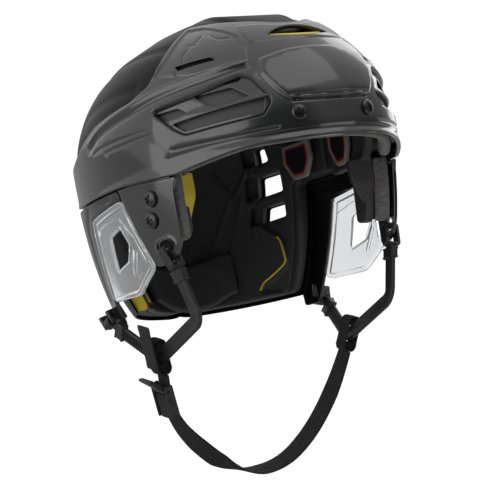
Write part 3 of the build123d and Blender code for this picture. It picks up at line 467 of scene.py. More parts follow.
def dense(points, step=1.0, closed=False):
    """The line through these points, with a point every step."""
    points = np.asarray(points, float)
    if closed:
        points = np.vstack([points, points[:1]])
    pieces = []
    for a, b in zip(points[:-1], points[1:]):
        count = max(int(np.ceil(np.linalg.norm(b - a) / step)), 1)
        pieces.append(a + (b - a) * (np.arange(count) / count)[:, None])
    if not closed:
        pieces.append(points[-1:])
    return np.vstack(pieces)


def soften(line, reach, closed=True):
    """Rounds the corners of a dense line."""
    width = max(int(reach), 1)
    kernel = np.ones(2 * width + 1) / (2 * width + 1)
    if closed:
        padded = np.vstack([line[-width:], line, line[:width]])
    else:
        padded = np.vstack([np.repeat(line[:1], width, 0), line, np.repeat(line[-1:], width, 0)])
    return np.column_stack([np.convolve(padded[:, k], kernel, "valid") for k in range(padded.shape[1])])


def mirrored(points):
    return np.asarray(points, float) * (-1.0, 1.0, 1.0)


def circle(count):
    """Points of a circle of radius 1 in the plane."""
    turns = np.linspace(0, 2 * math.pi, count, endpoint=False)
    return np.column_stack([np.cos(turns), np.sin(turns)])


def symmetric(half):
    """A closed outline from its right half, which starts and ends on the middle plane."""
    return np.vstack([half, mirrored(half[::-1])[1:-1]])


def tipped(points):
    """From the helmet's level frame to the row frame, in metres."""
    points = np.asarray(points, float)
    y = points[:, 1] * math.cos(PITCH) + points[:, 2] * math.sin(PITCH)
    z = points[:, 2] * math.cos(PITCH) - points[:, 1] * math.sin(PITCH)
    return np.column_stack([points[:, 0], y, z]) * MM


FRONT = HeadForm(111.6, 141.0, 98.0, 215.0)
REAR = HeadForm(104.0, 138.0, 95.0, 172.0, 3.0)
HALF_LENGTH = FRONT.length
CROWN = FRONT.crown


def shares(pairs):
    """Side view points from shares of the front shell's half length and crown height."""
    return [(y * HALF_LENGTH, z * CROWN) for y, z in pairs]


def round_loop(points, reach):
    """A closed outline through these points, with its corners rounded."""
    return soften(dense(points, closed=True), reach)


def side_loop(pairs, inset, step, reach):
    """A rounded outline on the front form's right side, from shares in a side view."""
    return soften(FRONT.side(shares(pairs), inset, step, closed=True), reach)


print("profile lengths", round(FRONT.descent[-1]), round(REAR.descent[-1]))

# %% [markdown]
# ## Moulding a layer
#
# A shell, a pad or a guard is the piece of a layer inside an outline. A triangle net is drawn on
# the chart: dense rings near every edge, rows along each crease, and an even net between. Both
# faces are lifted from it. Near an edge each face rolls over by the edge's radius, and a rule
# raises or sinks the outer face, so creases and steps are real geometry and catch real light.

# %% Distances and masks
FAR, TINY = 1e9, 1e-9


def tree_of(points):
    """A search tree of 3-D points."""
    tree = KDTree(len(points))
    for k, p in enumerate(points):
        tree.insert(p, k)
    tree.balance()
    return tree


def line_distance(points, line, closed=False):
    """Distance from each point to a dense line."""
    tree = tree_of(line)
    nearest = np.array([tree.find(p)[1] for p in points])
    best = np.full(len(points), FAR)
    last = len(line) - (0 if closed else 1)
    for shift in (-1, 0):
        first = (nearest + shift) % len(line) if closed else np.clip(nearest + shift, 0, last - 1)
        a, b = line[first], line[(first + 1) % len(line)]
        along = b - a
        reach = np.maximum(np.einsum("ij,ij->i", along, along), TINY)
        share = np.clip(np.einsum("ij,ij->i", points - a, along) / reach, 0, 1)
        best = np.minimum(best, np.linalg.norm(points - a - along * share[:, None], axis=1))
    return best


def enclosed(flat, loop):
    """Which chart points lie inside a closed loop."""
    inside = np.zeros(len(flat), bool)
    x, y = flat[:, 0], flat[:, 1]
    for (x1, y1), (x2, y2) in zip(loop, np.roll(loop, -1, axis=0)):
        if y1 == y2:
            continue
        crosses = (y1 > y) != (y2 > y)
        inside ^= crosses & (x < (x2 - x1) * (y - y1) / (y2 - y1) + x1)
    return inside


def between(flat, loops):
    """Which chart points lie inside the first loop and outside the others."""
    inside = enclosed(flat, loops[0])
    for loop in loops[1:]:
        inside &= ~enclosed(flat, loop)
    return inside


def smooth_step(value):
    value = np.clip(value, 0.0, 1.0)
    return value * value * (3 - 2 * value)


def inward_depth(form, points, loop):
    """How far points are inside a loop on the form, below zero outside it."""
    sign = np.where(enclosed(form.chart(*form.locate(points)), form.chart(*form.locate(loop))), 1.0, -1.0)
    return line_distance(points, loop, closed=True) * sign


def groove(points, line, width, depth, closed=False):
    """A rounded groove along a line, as a negative rise."""
    return -depth * np.exp(-(line_distance(points, line, closed) / (width / 2)) ** 2)


# %% Moulded layers
ROW_HEIGHT, LEAST_GAP = 0.87, 0.55
EDGE_ROWS = [side * share for share in (0.12, 0.4, 0.75, 1.2) for side in (1, -1)]


def new_object(name, points, faces, material, smooth_angle=38.0):
    """A mesh object in metres whose place is in its vertices."""
    mesh = bpy.data.meshes.new(name)
    mesh.from_pydata(points.tolist(), [], faces)
    mesh.materials.append(material)
    mesh.shade_smooth()
    mesh.set_sharp_from_angle(angle=math.radians(smooth_angle))
    return in_scene(name, mesh)


def edge_roll(depth, radius):
    """How much a face falls back this close to its edge."""
    if radius <= 0:
        return np.zeros_like(depth)
    share = np.clip(1 - depth / radius, 0, 1)
    return radius * (1 - np.sqrt(1 - share ** 2))


def beside(form, flat, offsets, factor=1.0, closed=False):
    """Chart rows beside a chart line, at these distances on the head."""
    along = np.roll(flat, -1, axis=0) - np.roll(flat, 1, axis=0) if closed else np.gradient(flat, axis=0)
    normal = np.column_stack([-along[:, 1], along[:, 0]])
    normal /= np.maximum(np.linalg.norm(normal, axis=1), TINY)[:, None]
    scale = form.stretch(form.unchart(flat)[1])[:, None]
    return [flat + normal * offset * factor * scale for offset in offsets]


def even_rows(form, outline, inset, grain_size):
    """Rings of chart points, evenly spaced on the head, over the outline's range of descent."""
    descent = form.locate(outline, inset)[1]
    rows = []
    for k, d in enumerate(np.arange(descent.min(), descent.max(), grain_size * ROW_HEIGHT)):
        around = max(float(np.interp(d, form.descent, form.share)) * form.girth, POLE)
        count = max(int(2 * math.pi * around / grain_size), 6)
        angle = (np.arange(count) + 0.5 * (k % 2)) / count * 2 * math.pi - math.pi
        rows.append(form.chart(angle, np.full(count, d)))
    return np.vstack(rows)


def triangle_net(form, flat_loops, extra_rows, rows, grain_size):
    """Points and triangles of the chart between the loops, through the rows beside lines and edges."""
    low, high = flat_loops[0].min(0), flat_loops[0].max(0)
    rows = rows[np.all((rows > low) & (rows < high), axis=1)]
    boundary = np.vstack(flat_loops)
    cloud = np.vstack([boundary, *extra_rows])
    tree = tree_of(np.column_stack([cloud, np.zeros(len(cloud))]))
    gap = np.array([tree.find((p[0], p[1], 0.0))[2] for p in rows])
    rows = rows[gap > grain_size * LEAST_GAP * form.stretch(form.unchart(rows)[1])]
    free = np.vstack([cloud[len(boundary):], rows])
    free = free[between(free, flat_loops)]
    ends, links = 0, []
    for flat in flat_loops:
        count = len(flat)
        links += [(ends + k, ends + (k + 1) % count) for k in range(count)]
        ends += count
    found = delaunay_2d_cdt([Vector(p) for p in np.vstack([boundary, free])], links, [], 0, 1e-5)
    flat, faces = np.array([tuple(p) for p in found[0]]), np.array(found[2])
    faces = faces[between(flat[faces].mean(axis=1), flat_loops)]
    used = np.unique(faces)
    renumber = np.full(len(flat), -1)
    renumber[used] = np.arange(len(used))
    return flat[used], renumber[faces]


def moulded(name, form, outline, outer, inner, material, holes=(), edge=0.8, inner_edge=None, raised=None,
            sunk=None, grain_size=2.6, lines=(), both_sides=False):
    """A piece of a layer between two insets. Returns its object, or the right and left objects."""
    inner_edge = edge if inner_edge is None else inner_edge
    flat_loops = [form.chart(*form.locate(loop, outer)) for loop in (outline, *holes)]
    radius = max(edge, inner_edge)
    extra_rows = []
    for flat in flat_loops if radius > 0 else ():
        extra_rows += beside(form, flat, EDGE_ROWS, radius, closed=True)
    for line, offsets in lines:
        extra_rows += beside(form, form.chart(*form.locate(line, outer)), offsets)
    rows = even_rows(form, outline, outer, grain_size)
    flat, faces = triangle_net(form, flat_loops, extra_rows, rows, grain_size)
    turn, descent = form.unchart(flat)
    base = form.surface(turn, descent, outer)
    depth = np.full(len(base), FAR)
    for loop in flat_loops:
        edge_line = form.surface(*form.unchart(loop), outer)
        depth = np.minimum(depth, line_distance(base, edge_line, closed=True))
    rise = raised(base) if raised else 0.0
    fall = sunk(base) if sunk else 0.0
    top_face = form.surface(turn, descent, outer + edge_roll(depth, edge) - rise)
    low_face = form.surface(turn, descent, inner - edge_roll(depth, inner_edge) - fall)
    count = len(flat)
    a, b, c = (top_face[faces[:, k]] for k in range(3))
    if np.einsum("ij,ij->i", np.cross(b - a, c - a), a - (0, form.shift, 0)).sum() < 0:
        faces = faces[:, ::-1]
    edges = np.vstack([faces[:, [0, 1]], faces[:, [1, 2]], faces[:, [2, 0]]])
    edges = dict.fromkeys(map(tuple, edges.tolist()))
    rim = [(p, q) for p, q in edges if (q, p) not in edges]
    all_faces = faces.tolist() + (faces[:, ::-1] + count).tolist()
    all_faces += [(q, p, p + count, q + count) for p, q in rim]
    solid = np.vstack([top_face, low_face])
    if not both_sides:
        piece = new_object(name, tipped(solid), all_faces, material)
        print(name, len(solid), "points")
        return piece
    right = new_object(f"{name}_right", tipped(solid), all_faces, material)
    flipped = [tuple(reversed(f)) for f in all_faces]
    left = new_object(f"{name}_left", tipped(mirrored(solid)), flipped, material)
    print(name, len(solid), "points on each side")
    return right, left


def painted(piece, material, rule):
    """Gives a second finish to faces whose middles obey a rule, which reads level frame millimetres."""
    mesh = piece.data
    mesh.materials.append(material)
    centres = np.empty(len(mesh.polygons) * 3)
    mesh.polygons.foreach_get("center", centres)
    x, y, z = centres.reshape(-1, 3).T / MM
    level_y = y * math.cos(PITCH) - z * math.sin(PITCH)
    level_z = z * math.cos(PITCH) + y * math.sin(PITCH)
    mesh.polygons.foreach_set("material_index", rule(x, level_y, level_z).astype(np.int32))
    return piece


def dress(piece, body, slot, *stands_for):
    """The piece rides on its body and stands for CAD nodes. The slot argument is not used."""
    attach(piece, body)
    if stands_for:
        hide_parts(*stands_for)
    return piece


def dress_pair(pair, slot, node, body="helmet"):
    for piece, side in zip(pair, ("right", "left")):
        dress(piece, body, slot, f"{node}_{side}")

# %% [markdown]
# ## Front shell
#
# The front shell wraps the brow, the temples and the band over the ears. It has a six sided vent on
# each side, an arched vent above the forehead and a slot in the upper panel. Its edges are rolled,
# the forehead plate stands proud, the upper panels are sunk, and thin lines are moulded in.

# %% Front shell outline
lower_edge = FRONT.side(shares([
    (-0.9915, -0.205), (-0.795, -0.205), (-0.51, -0.275), (-0.16, -0.245), (0.42, -0.245),
]))
front_half = np.vstack([
    dense([(0.0, -140.4, -20.1), (-18.0, -138.6, -20.1), (-18.2, -138.5, -20.1)]),
    lower_edge[1:],
    FRONT.side(shares([
        (0.42, -0.24), (0.42, 0.06), (0.32, 0.11), (0.205, 0.175), (0.045, 0.265), (-0.10, 0.305),
        (-0.26, 0.34), (-0.37, 0.42),
    ])),
    dense([
        (-91.0, -53.0, 44.0), (-78.0, -54.0, 60.0), (-64.0, -51.5, 72.0), (-52.0, -49.0, 80.0),
        (-49.0, -50.5, 81.4), (-30.0, -80.0, 77.0), (-11.0, -97.0, 71.5), (0.0, -99.3, 70.4),
    ]),
])
front_outline = soften(symmetric(front_half), 2)
vent_rim = round_loop([
    (-98, -60, 20), (-80, -92, 24), (-56, -114, 31), (-52, -118, 28), (-45, -128, 11), (-46, -128, 8),
    (-51, -126, 1), (-72, -108, 0), (-90, -83, -1), (-94, -75, 5),
], 2)
slot_rim = round_loop([(-80, -69, 50.5), (-63, -91, 51), (-62, -95, 47.5), (-80, -73, 46.5)], 1)
ARCH_HALF, ARCH_Y = 25, -109.3
arch_x = np.linspace(-ARCH_HALF, ARCH_HALF, 51)
arch_bow = 1 - (arch_x / ARCH_HALF) ** 2
arch_upper = np.column_stack([arch_x, ARCH_Y + 3.7 * arch_bow])
arch_lower = np.column_stack([arch_x, ARCH_Y - 6.8 * arch_bow])[::-1][1:-1]
arch_rim = FRONT.top(np.vstack([arch_upper, arch_lower]), closed=True)

# %% Front shell creases
plate_line = round_loop([
    (0, -124, 47), (-20, -122, 46), (-42, -115, 40.5), (-46, -121, 28), (-41, -130, 16), (-35, -134, 8),
    (-24, -137, 5.5), (0, -140, 5.5), (24, -137, 5.5), (35, -134, 8), (41, -130, 16), (46, -121, 28),
    (42, -115, 40.5), (20, -122, 46),
], 3)
panel_line = round_loop([
    (-90, -54, 46), (-78, -56.5, 60), (-52, -51, 79), (-46, -64, 77), (-40, -94, 64), (-42, -106, 54),
    (-47, -113, 41), (-64, -102, 39.5), (-79, -84, 40), (-87, -66, 43),
], 2)
crown_line = round_loop([
    (-34, -84, 71), (-38, -96, 62), (-39, -106, 53), (-20, -116, 54), (0, -119, 54), (20, -116, 54),
    (39, -106, 53), (38, -96, 62), (34, -84, 71), (12, -99, 68), (0, -102, 67), (-12, -99, 68),
], 3)
valley_line = dense([
    (-110, 14, 12), (-109.5, 3, 18), (-108, -15, 21.5), (-103, -38, 25), (-97, -57, 29), (-87, -78, 32),
    (-74, -94, 34), (-58, -108, 37), (-50, -114, 38),
])
hair_upper = dense([(-111, 8, 6.5), (-111, -1, 8), (-108, -32, 9), (-103, -53, 9.5)])
hair_lower = dense([(-111, -10, 3.5), (-108, -35, 4.5), (-102, -56, 5.5)])
slit_line = dense([(-95, -73, -9), (-83, -93, -9.5), (-67, -112, -10), (-56, -121, -10), (-43, -130, -10)])
corner_line = dense([(-98, -60, 16), (-101, -60, 4), (-96, -72, -9)])
groove_upper = dense([(-32, -135, 10.5), (-16, -139, 10), (0, -140.5, 9.6), (16, -139, 10), (32, -135, 10.5)])
groove_lower = dense([(-31, -135, 7), (-16, -139, 6.4), (0, -140.5, 6.0), (16, -139, 6.4), (31, -135, 7)])
brow_line = dense([
    (-96, -66, -15), (-79, -97, -14), (-62, -116, -14), (-44, -128, -14.5), (-22, -137, -14.5),
    (0, -140.5, -14.5),
])
ridge_line = dense([
    (-110, 14, 16.5), (-108, 0, 22), (-106, -15, 26), (-101, -36, 30), (-95, -55, 34), (-86, -75, 37),
    (-73, -92, 39), (-57, -106, 42),
])
FINE_STEP = 0.6
cracks = [dense(line, FINE_STEP) for line in (
    [(-54, -71, 71), (-60, -71, 66), (-62, -74, 64), (-66, -68, 66), (-66, -71, 62), (-71, -69, 58),
     (-74, -72, 54)],
    [(-80, -72, 46), (-82, -72, 43.5), (-82.5, -71, 41)],
    [(-51, -77, 70), (-50, -84, 64), (-46, -90, 63)],
)]


def on_front(line, lay=0.0):
    """The same line, laid at this inset of the front shell's form."""
    return FRONT.surface(*FRONT.locate(line), lay)


def both(line):
    """The line on the front shell and its mirror image."""
    return [on_front(line), on_front(mirrored(line))]


plate_edge, crown_edge = on_front(plate_line), on_front(crown_line)
ridge_lines, valley_lines, corner_lines = both(ridge_line), both(valley_line), both(corner_line)
panel_edges, vent_edges = both(panel_line), both(vent_rim)
thin_lines = both(hair_upper) + both(hair_lower) + [line for crack in cracks for line in both(crack)]
dark_lines = both(slit_line)
plate_grooves = [on_front(groove_upper), on_front(groove_lower)]
brow_crease = np.vstack([on_front(brow_line), on_front(mirrored(brow_line[::-1]))[1:]])
front_foot = dense([(18.2, -138.5, -20.1), (0, -140.4, -20.1), (-18.2, -138.5, -20.1)])
shell_foot = on_front(np.vstack([mirrored(lower_edge[::-1]), front_foot, lower_edge]))
# Lines, the width of their groove and its depth, which is below zero for a ridge.
FRONT_GROOVES = [
    (thin_lines, 0.9, 0.5), (dark_lines, 1.8, 1.3), (plate_grooves, 1.6, 1.1), (valley_lines, 4.6, 2.0),
    (ridge_lines, 3.0, -0.7), (corner_lines, 5.0, -0.45), ([brow_crease], 4.5, 0.9),
    ([shell_foot], 7.0, -0.9),
]
# Loops, how far the face inside them is raised, and the width of the slope.
FRONT_STEPS = [([plate_edge], 2.3, 3.2), ([crown_edge], 0.8, 2.0), (panel_edges, -1.2, 1.4)]
VENT_STEP, VENT_SLOPE = 2.4, 2.2


def front_relief(points):
    """How far the front shell's face stands proud of its form."""
    rise = np.zeros(len(points))
    for loops, step, slope in FRONT_STEPS:
        for loop in loops:
            rise += step * smooth_step(inward_depth(FRONT, points, loop) / slope)
    for line in vent_edges:
        rise -= VENT_STEP * (1 - smooth_step(-inward_depth(FRONT, points, line) / VENT_SLOPE))
    for lines, width, depth in FRONT_GROOVES:
        for line in lines:
            rise += groove(points, line, width, depth)
    return rise


def rows_for(lines, offsets):
    """Lines that a net follows, with rows at these distances beside them."""
    return [(line, offsets) for line in lines]


WIDE_ROWS, DARK_ROWS = (-3.2, -2.0, -1.0, 0.0, 1.0, 2.0, 3.2), (-1.8, -1.0, -0.5, 0.0, 0.5, 1.0, 1.8)
crease_rows = rows_for((plate_edge, crown_edge), (0.0, 0.9, 1.8, 2.6, 3.4, -0.9, -1.8, -2.6, -3.4))
crease_rows += rows_for(panel_edges, (-1.6, -0.8, 0.0, 0.8, 1.6))
crease_rows += rows_for(vent_edges, (-3.0, -2.2, -1.5, -0.8, 0.8, 1.5, 2.2, 3.0))
crease_rows += rows_for(thin_lines, (-1.0, -0.45, 0.0, 0.45, 1.0))
crease_rows += rows_for(dark_lines + plate_grooves, DARK_ROWS)
crease_rows += rows_for(valley_lines + ridge_lines + [brow_crease, shell_foot], WIDE_ROWS)
front_shell = moulded(
    "front_shell_skin", FRONT, front_outline, 0.0, 2.8, shell_gloss,
    holes=[vent_rim, mirrored(vent_rim), slot_rim, mirrored(slot_rim), arch_rim],
    edge=0.9, raised=front_relief, grain_size=2.8, lines=crease_rows,
)
dress(front_shell, "helmet", "shell_gloss", "front_shell")

# %% [markdown]
# ## Side vent inserts
#
# A second moulding sits behind each six sided vent: a long bar with a ridge, between windows of
# different shapes. It is the same layer method, with the windows as holes and a small edge radius.

# %% Side vent inserts
insert_outline = round_loop([
    (-99, -55, 22), (-80, -89, 27), (-56, -110, 34), (-49, -117, 30), (-40, -128, 11), (-42, -129, 5),
    (-50, -126, -3), (-72, -107, -4), (-90, -80, -5), (-97, -66, 4),
], 2)
tri_window, main_window, long_window, upper_gap = (round_loop(corners, 1) for corners in (
    [(-96, -57, 18), (-87, -76, 18), (-84.5, -82, 13.5), (-93, -67, 11.5)],
    [(-79, -87, 23), (-61, -107, 24), (-54, -116, 15.5), (-71, -101, 13), (-75, -96, 15)],
    [(-91, -73, 7.5), (-46, -124, 12.5), (-49, -123, 3), (-87, -80, 1)],
    [(-94, -59, 22.5), (-53, -111, 31.5), (-56, -110, 27.5), (-77, -88, 26.5), (-84, -79, 25.5),
     (-90, -68, 21.5)],
))
INSERT_OUT, INSERT_IN = 3.1, 5.7
insert_ridge = on_front(dense([(-92, -70, 9.5), (-72, -101, 10.5), (-46, -125, 14)]), INSERT_OUT)


def insert_relief(points):
    """The ridge along the bar."""
    return groove(points, insert_ridge, 4.8, -1.2)


vent_inserts = moulded(
    "side_vent_insert_skin", FRONT, insert_outline, INSERT_OUT, INSERT_IN, shell_gloss,
    holes=[tri_window, main_window, long_window, upper_gap], edge=0.6, raised=insert_relief, grain_size=2.4,
    both_sides=True,
)
dress_pair(vent_inserts, "black_gloss", "side_vent_insert")

# %% [markdown]
# ## Rear shell
#
# The rear shell is matte, with long soft creases that run from the face over the crown, two ridges
# across the back, and three vents one above the other on each side. Under the front shell's upper
# edge its crown bulges forwards.

# %% Rear shell
rear_half = np.vstack([
    REAR.top([(0, -107.8), (-13.9, -105.8), (-38.5, -86.7), (-62.5, -56.4)]),
    REAR.side([
        (-59.9, 31), (-36.7, 22.1), (-14.1, 19.1), (6.3, 12.7), (6.3, -18.6), (47.9, -18.6), (47.9, -105.8),
        (134.0, -105.8),
    ]),
])
rear_half[-1, 0] = 0.0
rear_outline = soften(symmetric(rear_half), 2)


def vent_hole(span, low, high, inset):
    """One rear vent's outline: a rounded four sided opening on the right of the back of the head."""
    y_low, y_high = span
    corners = [(y_low, low + 2), (y_low + 1, high), (y_high - 1, high - 1), (y_high, low)]
    return soften(REAR.side(corners, inset, 0.8, closed=True), 2)


def vent_pair(loops):
    """The openings of the right side and their mirror images."""
    return loops + [mirrored(loop) for loop in loops]


rear_vents = [((67.0, 86.0), 1.5, 15.5), ((67.0, 87.0), -24.0, -7.5), ((66.0, 85.0), -44.0, -31.5)]
crease_lines = [dense(line) for line in (
    [(-30, -78, 78), (-33, -40, 90), (-34, 0, 92), (-32, 50, 84), (-30, 92, 60), (-28, 122, 25)],
    [(-66, -50, 68), (-70, -20, 74), (-70, 10, 74), (-66, 48, 66), (-58, 84, 46), (-50, 110, 15)],
    [(-92, -28, 45), (-94, 0, 47), (-91, 34, 44), (-82, 66, 34)],
)]
CREASE_WIDTH, CREASE_DEPTHS = 10.0, (1.5, 1.5, 1.3, 1.3, 1.0, 1.0)
BACK_WIDTH, BACK_DEPTH = 4.4, 1.2
DISH_DEPTH, DISH_SLOPE = 1.6, 5.0
REAR_LEVEL, BULGE_HEIGHT, BULGE_WIDTH, BULGE_LENGTH, BULGE_Y, BULGE_FOOT = -0.4, 5.4, 58, 27, -50, 20
back_ridges = [dense(line) for line in (
    [(-60, 106, -40), (-30, 127, -36), (0, 133, -34), (30, 127, -36), (60, 106, -40)],
    [(-58, 104, -62), (-30, 122, -60), (0, 128, -58), (30, 122, -60), (58, 104, -62)],
)]


def on_rear(line, inset=0.0, lay=0.0):
    """Points found at one inset of the rear shell's form, laid at another."""
    return REAR.surface(*REAR.locate(line, inset), lay)


rear_creases = [on_rear(side) for line in crease_lines for side in (line, mirrored(line))]
back_lines = [on_rear(line) for line in back_ridges]
rear_vent_loops = vent_pair([vent_hole(span, low, high, 0.0) for span, low, high in rear_vents])


def rear_relief(points):
    """Long soft creases, lines across the back, dished vents, and a bulge at the front of the crown."""
    bulge = np.exp(-(points[:, 0] / BULGE_WIDTH) ** 2 - ((points[:, 1] - BULGE_Y) / BULGE_LENGTH) ** 2)
    rise = REAR_LEVEL + BULGE_HEIGHT * bulge * (points[:, 2] > BULGE_FOOT)
    for depth, line in zip(CREASE_DEPTHS, rear_creases):
        rise += groove(points, line, CREASE_WIDTH, depth)
    for line in back_lines:
        rise += groove(points, line, BACK_WIDTH, BACK_DEPTH)
    for loop in rear_vent_loops:
        rise -= DISH_DEPTH * (1 - smooth_step(-inward_depth(REAR, points, loop) / DISH_SLOPE))
    return rise


rear_rows = rows_for(rear_creases, (-7, -4.5, -2.2, 0, 2.2, 4.5, 7))
rear_rows += rows_for(back_lines, (-3.5, -1.8, -0.8, 0, 0.8, 1.8, 3.5))
rear_shell = moulded(
    "rear_shell_skin", REAR, rear_outline, 0.0, 2.5, shell_matte, holes=rear_vent_loops, edge=0.9,
    raised=rear_relief, grain_size=3.2, lines=rear_rows,
)
dress(rear_shell, "rear_half", "shell_matte", "rear_shell")

# %% [markdown]
# ## Ear panels
#
# A panel hangs from the band in front of each ear, held by two screws. The strap hooks round the
# bar below its slot. Its edge is rounded, a lip runs round the slot, and each screw sits in a
# shallow seat.

# %% Ear panels
PANEL_OUT, PANEL_IN = 0.8, 3.8
SCREW_PLACES = shares([(-0.32, -0.39), (-0.29, -0.54)])
SEAT_RADIUS, SEAT_DEPTH, SEAT_SLOPE = 6.2, 0.5, 0.9
SLOT_MIDDLE, SLOT_RADIUS, SLOT_STRETCH = (-46.0, -72.3), 4.4, 3.5
LIP_HEIGHT, LIP_SLOPE = 1.0, 2.6
panel_outline = side_loop([
    (-0.090, -0.247), (-0.50, -0.283), (-0.468, -0.35), (-0.447, -0.56), (-0.426, -0.735), (-0.383, -0.81),
    (-0.326, -0.86), (-0.218, -0.86),
], PANEL_OUT, 0.9, 3)


def ring_on_panel(middle, radius, stretch=0.0):
    """A round or stretched loop on the panel's outer face, about a side view's (y, z)."""
    flat = middle + radius * circle(40)
    flat[:, 0] += stretch * np.sign(circle(40)[:, 0])
    return FRONT.side(flat, PANEL_OUT, 1.0, closed=True)


slot_hole = ring_on_panel(SLOT_MIDDLE, SLOT_RADIUS, SLOT_STRETCH)
seat_lines = [ring_on_panel(place, SEAT_RADIUS) for place in SCREW_PLACES]


def panel_relief(points):
    """A dish under each screw, and a lip round the slot."""
    rise = np.zeros(len(points))
    for line in seat_lines:
        rise -= SEAT_DEPTH * smooth_step(inward_depth(FRONT, points, line) / SEAT_SLOPE)
    return rise + LIP_HEIGHT * (1 - smooth_step(-inward_depth(FRONT, points, slot_hole) / LIP_SLOPE))


ear_panels = moulded(
    "ear_panel_skin", FRONT, panel_outline, PANEL_OUT, PANEL_IN, shell_gloss, holes=[slot_hole], edge=0.9,
    raised=panel_relief, grain_size=2.2,
    lines=rows_for(seat_lines, (-1.0, -0.4, 0.3, 0.9)) + [(slot_hole, (1.0, 2.0, 3.0))], both_sides=True,
)
dress_pair(ear_panels, "shell_gloss", "ear_panel")
panel_tab = side_loop([(-0.115, -0.31), (-0.115, -0.21), (-0.445, -0.21), (-0.445, -0.31)], 3.1, 1.0, 2)
for piece in moulded("ear_panel_tab", FRONT, panel_tab, 3.2, 5.6, shell_gloss, edge=0.5, both_sides=True):
    dress(piece, "helmet", "shell_gloss")

# %% [markdown]
# ## Ear guards
#
# Each ear guard is one clear moulding with a thick rolled rim, stepped lines that follow its front
# edge, and a five sided hole with a raised lip. Clear plastic shows its shape only through its
# edges, so the rim and the steps are real thickness.

# %% Ear guards
guard_outline = side_loop([
    (-0.110, -0.330), (0.232, -0.383), (0.308, -0.962), (0.268, -0.995), (-0.02, -1.015), (-0.073, -0.975),
    (-0.202, -0.872), (-0.209, -0.832),
], 0.0, 0.9, 4)
guard_hole = side_loop([
    (0.09, -0.56), (-0.035, -0.52), (-0.075, -0.65), (-0.02, -0.76), (0.12, -0.80),
], 0.0, 0.9, 2)
guard_steps = [FRONT.side(shares(line), 0.0) for line in (
    [(-0.075, -0.47), (-0.135, -0.62), (-0.165, -0.78)],
    [(-0.115, -0.72), (-0.062, -0.86)],
    [(-0.095, -0.70), (-0.035, -0.86)],
    [(0.20, -0.50), (0.10, -0.46), (-0.05, -0.44), (-0.125, -0.60)],
)]


def guard_relief(points):
    """A thick rim, a lip round the hole, and the stepped lines."""
    edge_depth = inward_depth(FRONT, points, guard_outline)
    hole_depth = -inward_depth(FRONT, points, guard_hole)
    rise = 1.5 * (1 - smooth_step((edge_depth - 2.6) / 1.8))
    rise += 0.8 * (1 - smooth_step((hole_depth - 1.4) / 1.2))
    for line in guard_steps:
        rise += groove(points, line, 1.4, 0.7)
    return rise - 0.4


guard_rows = [(guard_outline, (2.4, 3.2, 4.0, 4.8, -2.4, -3.2, -4.0, -4.8)),
              (guard_hole, (1.3, 2.0, 2.7, -1.3, -2.0, -2.7))]
guard_rows += rows_for(guard_steps, (-1.2, -0.5, 0, 0.5, 1.2))
guards = moulded(
    "ear_guard_clear", FRONT, guard_outline, 0.0, 3.0, clear_guard, holes=[guard_hole], edge=1.2,
    raised=guard_relief, grain_size=2.0, lines=guard_rows, both_sides=True,
)
dress_pair(guards, "clear_guard", "ear_guard")

# %% [markdown]
# ## Side frames
#
# A glossy frame runs behind each ear guard, from the band down to the horn that holds the rear
# strap clip. The plate is a moulded layer. The horn's two ears and its pin are small solids.

# %% Side frames
frame_outline = side_loop([
    (-0.088, -0.255), (0.45, -0.255), (0.47, -0.60), (0.46, -1.02), (0.425, -1.155), (0.335, -1.155),
    (0.312, -0.965), (0.235, -0.378), (-0.100, -0.322),
], 0.0, 1.0, 2)
frame_hollow = FRONT.side(shares([(0.0, -0.285), (0.27, -0.30), (0.345, -0.42), (0.39, -0.95)]), 0.0)


def frame_relief(points):
    """A long hollow down the middle of the frame."""
    return groove(points, frame_hollow, 6.4, 1.0) - 0.1


side_frames = moulded(
    "side_frame_skin", FRONT, frame_outline, 0.0, 3.6, black_gloss, edge=1.1, raised=frame_relief,
    grain_size=2.4, lines=[(frame_hollow, (-4.5, -3, -1.5, 0, 1.5, 3, 4.5))], both_sides=True,
)
dress_pair(side_frames, "black_gloss", "side_frame")
frame_tab = side_loop([(-0.105, -0.35), (-0.105, -0.21), (0.39, -0.21), (0.39, -0.35)], 3.6, 1.0, 2)
for piece in moulded("side_frame_tab", FRONT, frame_tab, 3.8, 5.2, black_gloss, edge=0.5, both_sides=True):
    dress(piece, "helmet", "black_gloss")

# %% [markdown]
# ## Foam and liners
#
# Under the shells lie the impact foam and a black moulded liner. The yellow foam takes the liner's
# black as painted shade, where it lies in shade inside the vents and under the shells, and it is
# painted yellow only where light reaches it. The liner's raised ribs show through the face opening,
# and they are drawn as lines on the inner face. Foam has no sharp edge, so both edges of a pad are
# well rounded.

# %% Outlines of the padding
FOAM_OUT, FOAM_IN, LINER_IN = 6.0, 18.0, 26.3
REAR_FOAM_OUT, REAR_FOAM_IN, REAR_LINER_IN = 2.8, 14.8, 23.1
LINER_OUT, REAR_LINER_OUT = FOAM_IN + 0.3, REAR_FOAM_IN + 0.3


def middle_start(form, inset, level, back=False):
    """The form's point on the middle plane at this level, in front or behind."""
    turn, descent = math.pi if back else 0.0, np.interp(-level, -form.level, form.descent)
    return form.surface(np.array([turn]), np.array([descent]), inset)


def nose_line(inset, x_y, cut_y):
    """The curved upper edge of a front pad, from the side cut to the middle plane."""
    line = FRONT.top(x_y, inset)
    return line[line[:, 1] < cut_y]


